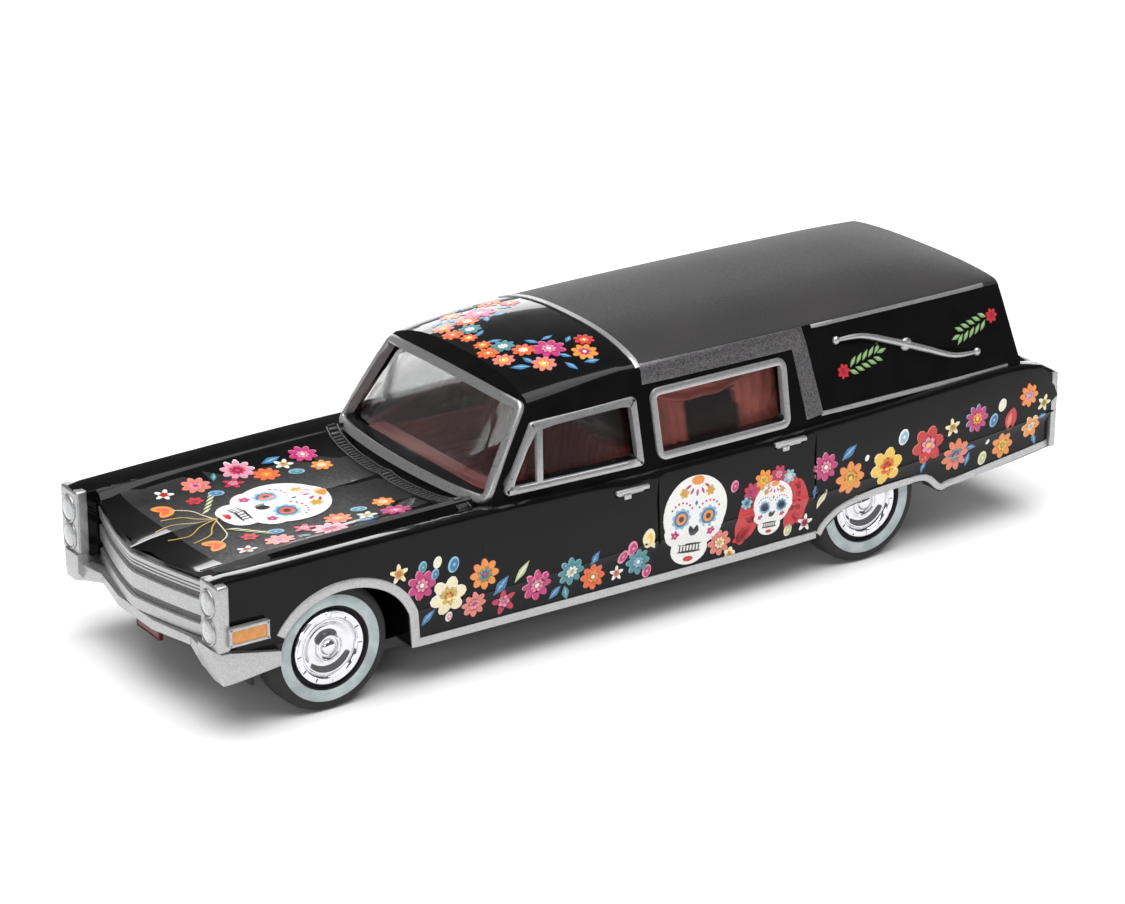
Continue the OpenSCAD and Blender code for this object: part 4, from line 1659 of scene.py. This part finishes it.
@dataclass(frozen=True)
class Stamp:
    """A thin disc or pointed leaf of unit size, which every spot of ink of its shape is pressed from."""

    sides: int
    point: float = 0.0
    cuts: int = 1

    def mesh(self) -> bpy.types.Mesh:
        """Make the stamp's mesh, or find it where it is made already.

        Returns:
            The mesh, of unit size and height.
        """
        name = f"stamp_{self.sides}_{round(self.point * 100)}_{self.cuts}"
        made = bpy.data.meshes.get(name)
        if made:
            return made
        bm = bmesh.new()
        bmesh.ops.create_circle(bm, cap_ends=True, cap_tris=True, segments=self.sides, radius=1)
        if self.cuts:
            bmesh.ops.subdivide_edges(bm, edges=bm.edges, cuts=self.cuts, use_grid_fill=True)
        for vert in bm.verts:
            vert.co.y *= 1 - self.point * abs(vert.co.x) ** 1.4
        grown = bmesh.ops.extrude_face_region(bm, geom=list(bm.faces))["geom"]
        bmesh.ops.translate(bm, vec=(0, 0, 1), verts=of_kind(grown, BMVert))
        bmesh.ops.recalc_face_normals(bm, faces=bm.faces)
        made = bpy.data.meshes.new(name)
        bm.to_mesh(made)
        bm.free()
        return made


@dataclass
class PrintSheet:
    """A printed design, laid as thin films of ink on the body.

    Attributes:
        name: the piece's name.
        place: the wrap that it is laid by.
        base: films that lie under every spot.
        film: height of the lowest film's top.
        step: how much higher each next film's top is.
        foot: how deep a film's underside is sunk.
        bead_turn: how far every bead is turned, in degrees.
        bm: the design's mesh.
    """

    name: str
    place: Place
    base: int = 0
    film: float = 0.028
    step: float = 0.01
    foot: float = -0.03
    bead_turn: float = 70.0
    bm: BMesh = field(default_factory=bmesh.new)

    def spot(self, ink: Print, at: Point, size: Point, turn: float = 0.0, layer: int = 0, sides: int = 14,
             point: float = 0.0, cuts: int = 1) -> None:
        """Print an oval, or a leaf where its ends come to a point.

        Args:
            ink: the ink.
            at: its middle.
            size: its half length and half width.
            turn: how far it is turned, in degrees.
            layer: how many films lie under it.
            sides: its outline's sides.
            point: how sharply its ends are drawn in, from 0 to 1.
            cuts: cuts across each of its triangles, more for a large shape that bends with the body.
        """
        old_verts, old_faces = len(self.bm.verts), len(self.bm.faces)
        self.bm.from_mesh(Stamp(sides, point, cuts).mesh())
        self.bm.verts.ensure_lookup_table()
        self.bm.faces.ensure_lookup_table()
        top = self.film + self.step * (layer + self.base)
        angle = math.radians(turn)
        cos, sin = math.cos(angle), math.sin(angle)
        for vert in self.bm.verts[old_verts:]:
            u, v = vert.co.x * size[0], vert.co.y * size[1]
            lift = top if vert.co.z > 0.5 else self.foot
            vert.co = self.place(at[0] + u * cos - v * sin, at[1] + u * sin + v * cos, lift)
        index = list(Print).index(ink)
        for face in self.bm.faces[old_faces:]:
            face.material_index = index

    def disc(self, ink: Print, at: Point, radius: float, layer: int, sides: int = 14, cuts: int = 1) -> None:
        """Print a round spot."""
        self.spot(ink, at, (radius, radius), 0, layer, sides, 0, cuts)

    def petals(self, ink: Print, at: Point, radius: float, count: int, layer: int, turn: float = 0.0,
               slim: float = 0.5, inner: float = 0.12) -> None:
        """Print a ring of petals.

        Args:
            ink: the ink.
            at: the ring's middle.
            radius: its outer radius.
            count: how many petals it has.
            layer: how many films lie under it.
            turn: where its first petal points, in degrees.
            slim: half width of a petal, as a share of the radius.
            inner: where the petals start, as a share of the radius.
        """
        middle = radius * (1 + inner) / 2
        reach = radius * (1 - inner) / 2
        width = min(slim * radius, middle * math.sin(math.pi / count) * 1.15)
        for k in range(count):
            angle = math.tau * k / count + math.radians(turn)
            where = (at[0] + middle * math.cos(angle), at[1] + middle * math.sin(angle))
            self.spot(ink, where, (reach, width), math.degrees(angle), layer, 10)

    def flower(self, at: Point, radius: float, ink: Print, heart: Print, count: int = 8,
               rim: Print | None = None, eye: Print | None = None, turn: float = 0.0, slim: float = 0.5) -> None:
        """Print a flower: a pale rim under its petals, a heart and an eye.

        Args:
            at: its middle.
            radius: its radius.
            ink: its petals' ink.
            heart: its heart's ink.
            count: how many petals it has.
            rim: the ink of the offset petals under it.
            eye: the ink of the small middle spot.
            turn: how far it is turned, in degrees.
            slim: half width of a petal, as a share of the radius.
        """
        if rim:
            self.petals(rim, (at[0] - 0.07, at[1] + 0.06), radius * 1.02, count, 0, turn, slim)
        self.petals(ink, at, radius, count, 1, turn, slim)
        self.disc(ink, at, radius * 0.5, 1)
        self.petals(heart, at, radius * 0.46, count, 2, turn + 180 / count)
        self.disc(heart, at, radius * 0.26, 2)
        if eye:
            self.disc(eye, at, radius * 0.15, 3)

    def leaf(self, at: Point, length: float, turn: float, ink: Print, vein: Print | None = None,
             width: float = 0.42) -> None:
        """Print a pointed leaf with a pale vein.

        Args:
            at: its middle.
            length: half its length.
            turn: how far it is turned, in degrees.
            ink: its ink.
            vein: its vein's ink, or None for no vein.
            width: its width, as a share of its length.
        """
        self.spot(ink, at, (length, length * width), turn, 0, 16, 0.8)
        if vein:
            self.spot(vein, (at[0], at[1] + 0.05), (length * 0.75, length * 0.1), turn, 1, 8, 0.8)

    def oval(self, at: Point, radius: float, ink: Print, rim: Print) -> None:
        """Print a small bead with a pale rim and a dot.

        Args:
            at: its middle.
            radius: half its length.
            ink: its ink.
            rim: the ink of its rim and dot.
        """
        x, y = at
        self.spot(rim, at, (radius, radius * 0.72), self.bead_turn, 0, 14)
        self.spot(ink, (x + 0.05, y - 0.04), (radius * 0.78, radius * 0.52), self.bead_turn, 1, 12)
        self.spot(rim, (x + 0.05, y), (radius * 0.22, radius * 0.18), self.bead_turn, 2, 8)

    def skull(self, at: Point, size: float, tilt: float = 0.0, eye: Print = Print.ORANGE) -> None:
        """Print a folk-art skull of plain rounded shapes with flower eyes.

        Args:
            at: the middle of its brow.
            size: half the skull's width.
            tilt: how far it leans, in degrees.
            eye: the ink of its eyes' inner ring.
        """
        ink = Print
        lean = Matrix.Rotation(math.radians(tilt), 2)

        def spot(x: float, y: float) -> Point:
            """Return a place on the skull."""
            moved = lean @ Vector((x, y)) * size
            return at[0] + moved.x, at[1] + moved.y

        self.spot(ink.WHITE, spot(0, -0.92), (size * 0.58, size * 0.44), tilt, 0, 24, 0, 5)
        self.spot(ink.WHITE, spot(0, -0.42), (size * 0.9, size * 0.5), tilt, 1, 28, 0, 6)
        self.spot(ink.WHITE, spot(0, 0.12), (size, size * 0.98), tilt, 2, 36, 0, 7)
        for x in (-0.43, 0.43):
            self.petals(ink.SKY, spot(x, -0.04), size * 0.3, 9, 3, 0, 0.35, 0.4)
            self.disc(ink.BLUE, spot(x, -0.04), size * 0.22, 4, 16)
            self.disc(eye, spot(x, -0.04), size * 0.16, 5)
            self.disc(ink.SHADOW, spot(x, -0.04), size * 0.08, 6, 12)
            self.petals(ink.MAGENTA, spot(x * 1.35, -0.47), size * 0.13, 5, 3)
            self.petals(ink.GOLD, spot(x * 0.95, 0.66), size * 0.15, 6, 3)
            self.disc(ink.ORANGE, spot(x * 0.95, 0.66), size * 0.05, 4, 10)
            for angle in (math.radians(35 + k * 18.5) for k in range(7)):
                where = spot(x + 0.38 * math.cos(angle), 0.4 * math.sin(angle))
                self.disc(ink.CRIMSON, where, size * 0.032, 3, 8, 0)
        for angle in (math.radians(210 + k * 30) for k in range(5)):
            where = spot(0.34 * math.cos(angle), 0.98 + 0.34 * math.sin(angle))
            self.spot(ink.MAGENTA, where, (size * 0.1, size * 0.04), math.degrees(angle) + tilt, 3, 10, 0.5)
        self.spot(ink.ORANGE, spot(0, 0.97), (size * 0.2, size * 0.12), tilt, 4, 16)
        self.spot(ink.BLUE, spot(0, 0.36), (size * 0.07, size * 0.045), 90 + tilt, 3, 10, 0.4)
        for x in (-0.07, 0.07):
            self.spot(ink.SHADOW, spot(x, -0.4), (size * 0.15, size * 0.08), 90 + tilt - x * 260, 6, 12, 0.3, 3)
        for y in (-0.8, -1.0):
            self.spot(ink.SHADOW, spot(0, y), (size * 0.38, size * 0.03), tilt, 3, 12)
        for k in range(7):
            self.spot(ink.SHADOW, spot(-0.3 + k * 0.1, -0.9), (size * 0.12, size * 0.018), 90 + tilt, 3, 8)
        self.spot(ink.RED, spot(0, -1.2), (size * 0.16, size * 0.07), tilt, 3, 12)

    def ribbon(self, ink: Print, points: Sequence[Point], width: float) -> None:
        """Print a thin curling line of short overlapping dashes.

        Args:
            ink: the ink.
            points: where it passes.
            width: its width.
        """
        path = [Vector(point) for point in curve_through(points, 7)]
        for a, b in zip(path, path[1:]):
            gap = b - a
            turn = math.degrees(math.atan2(gap.y, gap.x))
            self.spot(ink, tuple((a + b) / 2), (gap.length * 0.6, width / 2), turn, 0, 6)

    def finish(self) -> None:
        """Lay the design on the body."""
        finish_piece(self.bm, self.name, tuple(ink.value for ink in Print), crease=60)


@dataclass
class SidePrint:
    """The flower band along one side, with its skull and its crowned skull."""

    skin: Skin
    side: Side

    def build(self) -> None:
        """Print the side."""
        sheet = PrintSheet(f"flower_band_{self.side.hand}", self.skin.side(self.side))
        self.front_band(sheet)
        sheet.skull((2.9, 10.3), 3.75, -6)
        self.crowned_skull(sheet)
        self.rear_band(sheet)
        sheet.finish()
        self.laurels()

    def front_band(self, sheet: PrintSheet) -> None:
        """Print the flowers from the front arch to the skull.

        Args:
            sheet: the sheet to print on.
        """
        ink = Print
        sheet.flower((-30.1, 12.1), 1.0, ink.CREAM, ink.ORANGE, 5, turn=20, slim=0.22)
        sheet.flower((-27.7, 10.4), 1.5, ink.MAGENTA, ink.PINK, 7, ink.PINK, ink.WHITE)
        sheet.flower((-24.8, 8.6), 1.95, ink.CREAM, ink.GOLD, 6, ink.WHITE, ink.ORANGE, 12)
        sheet.flower((-20.9, 9.9), 1.55, ink.ORANGE, ink.TEAL, 8, ink.SALMON, ink.MAGENTA)
        sheet.flower((-21.9, 7.0), 1.3, ink.SALMON, ink.PINK, 8, ink.PINK, ink.CRIMSON)
        sheet.flower((-18.6, 6.5), 1.35, ink.CRIMSON, ink.PINK, 5, turn=30, slim=0.24)
        sheet.flower((-15.0, 7.3), 1.6, ink.MAGENTA, ink.PINK, 8, ink.PINK, ink.WHITE)
        sheet.flower((-11.2, 7.8), 1.45, ink.TEAL, ink.WHITE, 8, ink.SKY, ink.GOLD)
        sheet.flower((-8.6, 6.6), 1.35, ink.FLAME, ink.ORANGE, 8, ink.SALMON, ink.WHITE)
        sheet.flower((-5.9, 6.3), 0.8, ink.WHITE, ink.SALMON, 5, turn=15, slim=0.22)
        sheet.flower((-3.4, 6.9), 1.35, ink.TEAL, ink.SKY, 8, ink.SKY, ink.WHITE)
        for at, length, turn in (((-26.9, 6.9), 1.0, 50), ((-19.1, 8.3), 1.2, 45), ((-12.9, 6.0), 0.9, 40),
                                 ((-8.6, 8.6), 0.85, 50)):
            sheet.leaf(at, length, turn, ink.BLUE, ink.SKY)
        sheet.leaf((-16.8, 9.2), 1.25, 50, ink.SAGE, ink.CREAM, 0.3)
        sheet.leaf((-11.7, 5.7), 0.75, 100, ink.TEAL, ink.SKY, 0.55)
        for at, radius, fill, rim in (
                ((-24.3, 11.7), 0.8, ink.BLUE, ink.SKY), ((-26.0, 12.3), 0.6, ink.CREAM, ink.WHITE),
                ((-27.6, 12.2), 0.6, ink.TEAL, ink.SKY), ((-26.3, 11.2), 0.55, ink.BLUE, ink.SKY),
                ((-24.6, 6.4), 0.5, ink.PINK, ink.WHITE), ((-5.3, 7.9), 0.75, ink.MAGENTA, ink.PINK),
                ((-4.3, 8.6), 0.75, ink.MAGENTA, ink.PINK), ((-2.4, 5.7), 0.7, ink.MAGENTA, ink.PINK)):
            sheet.oval(at, radius, fill, rim)
        sheet.spot(ink.CREAM, (-2.4, 9.2), (1.0, 0.72), 80, 0, 16, 0.15)
        sheet.leaf((-1.95, 8.45), 0.6, -55, ink.CREAM)
        sheet.spot(ink.YELLOW, (-2.3, 9.1), (0.6, 0.35), 80, 1, 12)

    def crowned_skull(self, sheet: PrintSheet) -> None:
        """Print the small skull with long red hair under a crown of flowers.

        Args:
            sheet: the sheet to print on.
        """
        ink = Print
        sheet.spot(ink.RED, (12.2, 9.9), (3.55, 2.7), 8, 0, 32, 0, 6)
        for at, size, turn in (((9.2, 8.6), (2.9, 1.15), 78), ((9.5, 7.2), (1.7, 0.8), 40),
                               ((15.6, 8.9), (2.5, 1.1), 95), ((14.9, 7.4), (1.4, 0.9), 60),
                               ((8.6, 6.6), (0.9, 0.35), 25)):
            sheet.spot(ink.RED, at, size, turn, 0, 20, 0.2, 4)
        sheet.base = 1
        sheet.skull((12.3, 9.25), 2.35, -4, ink.SHADOW)
        sheet.base = 2
        for at, radius, fill, heart in (
                ((9.6, 11.3), 0.95, ink.CRIMSON, ink.MAGENTA), ((11.1, 12.2), 1.1, ink.ORANGE, ink.YELLOW),
                ((12.9, 12.4), 0.95, ink.CRIMSON, ink.PINK), ((9.1, 10.2), 0.7, ink.SKY, ink.TEAL),
                ((14.2, 11.9), 0.75, ink.SKY, ink.WHITE)):
            sheet.flower(at, radius, fill, heart, 7)
        sheet.base = 0
        sheet.oval((7.6, 12.3), 0.62, ink.MAGENTA, ink.PINK)
        sheet.flower((6.2, 6.6), 1.35, ink.SALMON, ink.CREAM, 8, ink.PINK, ink.GOLD)
        sheet.flower((7.4, 5.2), 0.7, ink.CREAM, ink.ORANGE, 5)

    def rear_band(self, sheet: PrintSheet) -> None:
        """Print the flowers that climb from the rear wheel to the tail.

        Args:
            sheet: the sheet to print on.
        """
        ink = Print
        sheet.flower((18.7, 11.8), 1.5, ink.MAGENTA, ink.PINK, 8, ink.PINK, ink.WHITE)
        sheet.flower((21.9, 9.9), 1.75, ink.ORANGE, ink.GOLD, 8, ink.SALMON, ink.YELLOW)
        sheet.flower((26.5, 10.1), 2.0, ink.YELLOW, ink.FLAME, 6, ink.CREAM, ink.RED, 15)
        sheet.flower((31.8, 11.2), 2.0, ink.RED, ink.PINK, 6, ink.SALMON, ink.YELLOW, 10)
        sheet.flower((35.7, 9.2), 1.75, ink.SALMON, ink.TEAL, 9, ink.ORANGE, ink.MAGENTA, slim=0.3)
        sheet.flower((38.2, 12.6), 1.5, ink.MAGENTA, ink.ORANGE, 9, ink.SKY, ink.YELLOW)
        sheet.flower((42.2, 8.7), 1.4, ink.ORANGE, ink.YELLOW, 7, ink.SALMON, ink.GOLD)
        sheet.flower((46.0, 9.9), 1.25, ink.ORANGE, ink.CREAM, 6, ink.CREAM, ink.PINK)
        sheet.flower((45.3, 13.5), 1.25, ink.ORANGE, ink.PINK, 8, ink.FLAME, ink.SKY)
        sheet.flower((34.9, 12.4), 1.0, ink.CREAM, ink.GOLD, 5, turn=25, slim=0.22)
        sheet.flower((47.5, 12.2), 0.95, ink.CREAM, ink.GOLD, 5, slim=0.22)
        sheet.flower((16.6, 6.3), 0.95, ink.WHITE, ink.CRIMSON, 5, turn=10, slim=0.2)
        for at, length, turn in (((21.6, 12.7), 1.15, 35), ((37.6, 9.6), 0.8, -10), ((37.4, 8.3), 0.8, 70),
                                 ((47.3, 10.8), 0.7, 10), ((46.6, 8.4), 0.8, -70), ((31.4, 8.9), 0.75, 80),
                                 ((17.5, 9.4), 0.7, 80)):
            sheet.leaf(at, length, turn, ink.BLUE, ink.SKY)
        sheet.leaf((18.5, 8.4), 1.1, 65, ink.CREAM, ink.SAGE, 0.35)
        sheet.spot(ink.RED, (42.9, 11.5), (1.2, 0.8), 75, 0, 18, 0.3)
        sheet.spot(ink.SALMON, (42.7, 11.4), (0.8, 0.3), 75, 1, 12, 0.4)
        for at, radius, fill, rim in (
                ((28.5, 12.8), 0.85, ink.SKY, ink.WHITE), ((40.5, 11.9), 0.75, ink.BLUE, ink.SKY),
                ((41.6, 13.3), 0.7, ink.CREAM, ink.WHITE), ((39.5, 7.9), 0.75, ink.SAGE, ink.CREAM),
                ((14.5, 6.0), 0.65, ink.SAGE, ink.CREAM), ((40.0, 9.6), 0.3, ink.WHITE, ink.WHITE),
                ((23.9, 11.6), 0.35, ink.WHITE, ink.WHITE)):
            sheet.oval(at, radius, fill, rim)

    def laurels(self) -> None:
        """Print a laurel sprig with a red blossom at each end of the rear quarter."""
        ink = Print
        sheet = PrintSheet(f"laurel_print_{self.side.hand}", self.skin.side(self.side))
        for (y, z), way, rise in (((22.3, 20.4), 1, 0.22), ((41.6, 22.2), -1, -0.25)):
            sheet.flower((y, z), 0.75, ink.RED, ink.CRIMSON, 7)
            for reach in (0.95 + k * 0.78 for k in range(5)):
                for up in (1, -1):
                    at = (y + way * (reach + 0.3), z + rise * reach + up * 0.5)
                    turn = math.degrees(math.atan2(rise, 1)) + up * 38
                    sheet.leaf(at, 0.62, turn if way > 0 else 180 - turn, ink.LEAF, ink.SAGE, 0.36)
            tip_turn = math.degrees(math.atan2(rise * way, 1))
            sheet.leaf((y + way * 4.9, z + rise * 4.9), 0.6, tip_turn, ink.LEAF, ink.SAGE, 0.36)
        sheet.finish()


@dataclass
class TopPrint:
    """The designs on the bonnet and on the front of the roof."""

    skin: Skin

    def build(self) -> None:
        """Print both."""
        self.bonnet()
        self.roof()

    def bonnet(self) -> None:
        """Print the bonnet: a large skull, ribbons at its chin, hearts and flowers round it."""
        ink = Print
        sheet = PrintSheet("bonnet_print", self.skin.top())
        sheet.skull((0.0, -33.9), 4.6, 0, ink.FLAME)
        for x in (-1, 1):
            sheet.ribbon(ink.GOLD, [(0, -40.4), (x * 1.2, -41.6), (x * 2.6, -42.6), (x * 3.2, -44.6)], 0.16)
            sheet.ribbon(ink.GOLD, [(0, -40.4), (x * 0.5, -42.4), (x * 1.6, -44.2), (x * 1.2, -46.2)], 0.14)
            sheet.ribbon(ink.CREAM, [(0, -40.6), (x * 2.2, -40.9), (x * 3.6, -41.4), (x * 4.8, -42.9)], 0.13)
            self.heart(sheet, (x * 4.9, -43.6), 1.25)
            for k in range(5):
                sheet.leaf((x * (2.6 + k * 0.75), -40.1 + k * 0.55), 0.8, x * 60, ink.SAGE, ink.CREAM, 0.22)
            sheet.flower((x * 5.2, -39.9), 0.85, ink.RED, ink.CRIMSON, 6)
            sheet.oval((x * 5.6, -37.4), 0.8, ink.BLUE, ink.SKY)
            sheet.flower((x * 6.6, -35.0), 1.1, ink.CRIMSON, ink.PINK, 5, slim=0.26)
            sheet.flower((x * 6.6, -31.4), 1.35, ink.FLAME, ink.ORANGE, 8, ink.ORANGE, ink.YELLOW)
            sheet.flower((x * 7.9, -38.3), 1.45, ink.SALMON, ink.PINK, 8, ink.PINK, ink.CRIMSON)
            sheet.flower((x * 8.6, -33.4), 1.7, ink.PINK, ink.CRIMSON, 9, ink.WHITE, ink.MAGENTA)
            sheet.flower((x * 7.9, -41.7), 1.0, ink.WHITE, ink.RED, 5, slim=0.24)
            sheet.flower((x * 7.7, -28.9), 1.0, ink.WHITE, ink.GOLD, 5, slim=0.24)
            sheet.leaf((x * 8.9, -29.6), 1.15, 80 * x, ink.BLUE, ink.SKY)
            sheet.flower((x * 8.5, -26.3), 1.45, ink.MAGENTA, ink.PINK, 8, ink.PINK, ink.WHITE)
            sheet.oval((x * 5.7, -28.6), 0.8, ink.TEAL, ink.SKY)
            sheet.flower((x * 5.6, -25.9), 1.1, ink.ORANGE, ink.CREAM, 7, ink.SALMON)
            sheet.leaf((x * 8.6, -36.0), 0.7, 30 * x, ink.TEAL, ink.SKY)
        sheet.finish()

    def heart(self, sheet: PrintSheet, at: Point, size: float) -> None:
        """Print an orange heart.

        Args:
            sheet: the sheet to print on.
            at: its middle.
            size: half its height.
        """
        ink = Print
        x, y = at
        for side in (-1, 1):
            turn = 90 + side * 38
            outer, inner = (x + side * size * 0.4, y + size * 0.25), (x + side * size * 0.3, y + size * 0.2)
            sheet.spot(ink.ORANGE, outer, (size * 0.85, size * 0.52), turn, 0, 20, 0.15, 2)
            sheet.spot(ink.FLAME, inner, (size * 0.5, size * 0.25), turn, 1, 14, 0.15)

    def roof(self) -> None:
        """Print the two garlands on the front of the roof."""
        ink = Print
        flowers = (((3.1, -12.5), 1.1, ink.FLAME, ink.ORANGE, ink.ORANGE),
                   ((1.2, -11.9), 0.9, ink.FLAME, ink.YELLOW, None),
                   ((5.3, -12.2), 1.1, ink.SALMON, ink.YELLOW, ink.PINK),
                   ((2.9, -10.7), 1.15, ink.TEAL, ink.WHITE, ink.SKY),
                   ((4.9, -9.7), 1.15, ink.FLAME, ink.CREAM, ink.SALMON),
                   ((6.1, -7.6), 1.65, ink.MAGENTA, ink.PINK, ink.PINK),
                   ((8.1, -9.5), 1.2, ink.SALMON, ink.YELLOW, ink.PINK),
                   ((8.3, -5.0), 1.3, ink.ORANGE, ink.MAGENTA, ink.FLAME),
                   ((6.4, -3.8), 1.0, ink.RED, ink.ORANGE, ink.SALMON))
        leaves = (((3.9, -8.1), 0.8, 30), ((7.3, -11.6), 1.0, 60), ((6.8, -10.4), 0.8, 10),
                  ((4.1, -6.5), 0.75, 100), ((7.9, -7.0), 0.7, 40), ((9.8, -5.2), 0.8, 80),
                  ((9.6, -7.4), 0.8, 20), ((1.3, -10.6), 0.8, 60), ((5.5, -5.0), 0.7, 130))
        sheet = PrintSheet("roof_print", self.skin.top())
        for side in (-1, 1):
            for (x, y), radius, fill, heart, rim in flowers:
                sheet.flower((side * x, y), radius, fill, heart, 8, rim, ink.WHITE)
            for (x, y), length, turn in leaves:
                sheet.leaf((side * x, y), length, turn * side, ink.BLUE, ink.SKY)
        sheet.finish()


# ---------------------------------------------------------------- carried-over CAD nodes


@dataclass
class Carried:
    """CAD nodes whose shape is right as it is, or only needs soft edges."""

    finishes: dict[str, Finish] = field(default_factory=lambda: {
        "base_plate": BASE, "rivets": STEEL, "front_axle": STEEL, "rear_axle": STEEL, "marker_lamps": AMBER,
        "steering_wheel": MAROON})

    def build(self) -> None:
        """Dress each node, and build the smooth window moulding."""
        for node, finish in self.finishes.items():
            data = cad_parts[node].data
            data.materials.clear()
            data.materials.append(finish.material())
            LOG.info("%s: dressed", node)
        finish_piece(cad_copy("window_moulding"), "clear_glazing", (GLASS,), stands_for=("window_moulding",),
                     crease=30, outward=False)


# ---------------------------------------------------------------- studio


@dataclass
class Studio:
    """Pale floor, soft lights and the camera.

    Attributes:
        azimuth: where the camera stands round the car, in degrees from its nose.
        elevation: how high it stands, in degrees.
        distance: how far from the target, in millimetres.
        target: what it looks at, in millimetres.
        lens: its lens, in millimetres.
        sky: the sky's strength.
        boxes: each soft light's name, place, size and power, in metres and watts.
    """

    azimuth: float = 55.9
    elevation: float = 21.42
    distance: float = 363.2
    target: Colour = (-4.05, 0.835, 10.98)
    lens: float = 116.9
    sky: float = 0.16
    boxes: tuple = (("top_box", (0.1, -0.05, 0.9), (1.1, 1.1), 15.0),
                    ("front_box", (0.5, -0.55, 0.3), (0.35, 0.2), 1.0),
                    ("rear_card", (-0.66, 0.45, 0.175), (1.2, 0.2), 2.4))

    def build(self) -> None:
        """Build the studio."""
        self.floor()
        self.lights()
        self.camera()

    def floor(self) -> None:
        """Lay the floor."""
        bm = bmesh.new()
        bmesh.ops.create_grid(bm, x_segments=8, y_segments=8, size=6)
        mesh = bpy.data.meshes.new("studio_floor")
        bm.to_mesh(mesh)
        bm.free()
        mesh.materials.append(PAPER.material())
        floor = bpy.data.objects.new("studio_floor", mesh)
        bpy.context.scene.collection.objects.link(floor)

    def lights(self) -> None:
        """Hang the soft boxes and set the sky."""
        world = bpy.data.worlds.new("studio_sky")
        world.use_nodes = True
        background = world.node_tree.nodes["Background"].inputs
        background["Color"].default_value = (1, 1, 1, 1)
        background["Strength"].default_value = self.sky
        bpy.context.scene.world = world
        for name, at, size, power in self.boxes:
            lamp = bpy.data.lights.new(name, "AREA")
            lamp.shape = "RECTANGLE"
            lamp.size, lamp.size_y = size
            lamp.energy = power
            holder = bpy.data.objects.new(name, lamp)
            holder.location = at
            holder.rotation_euler = (-Vector(at)).to_track_quat("-Z", "Y").to_euler()
            bpy.context.scene.collection.objects.link(holder)

    def camera(self) -> None:
        """Set the camera and the plain display transform."""
        a, e = math.radians(self.azimuth), math.radians(self.elevation)
        back = Vector((math.sin(a) * math.cos(e), -math.cos(a) * math.cos(e), math.sin(e)))
        lens = bpy.data.cameras.new("studio_camera")
        lens.sensor_fit, lens.sensor_width, lens.lens = "HORIZONTAL", 36, self.lens
        lens.clip_start, lens.clip_end = 0.01, 20
        camera = bpy.data.objects.new("studio_camera", lens)
        camera.location = (Vector(self.target) + back * self.distance) * MM
        camera.rotation_euler = back.to_track_quat("Z", "Y").to_euler()
        bpy.context.scene.collection.objects.link(camera)
        bpy.context.scene.camera = camera
        bpy.context.scene.view_settings.view_transform = "Standard"


def main() -> None:
    """Build the toy in order, from the shell to the studio."""
    logging.basicConfig(level=logging.INFO, format="%(name)s %(message)s")
    car = Car()
    Studio().build()
    skin = BodyShell(car).build()
    for side in Side:
        SideTrim(car, skin, side).build()
        SidePrint(skin, side).build()
    CabinTrim(car, skin).build()
    FrontEnd(car).build()
    RearEnd(car, skin).build()
    Brightwork(car, skin).build()
    TopPrint(skin).build()
    Cabin(car).build()
    for end in End:
        for side in Side:
            Wheel(car, end, side).build()
    Carried().build()


if __name__ == "__main__":
    main()
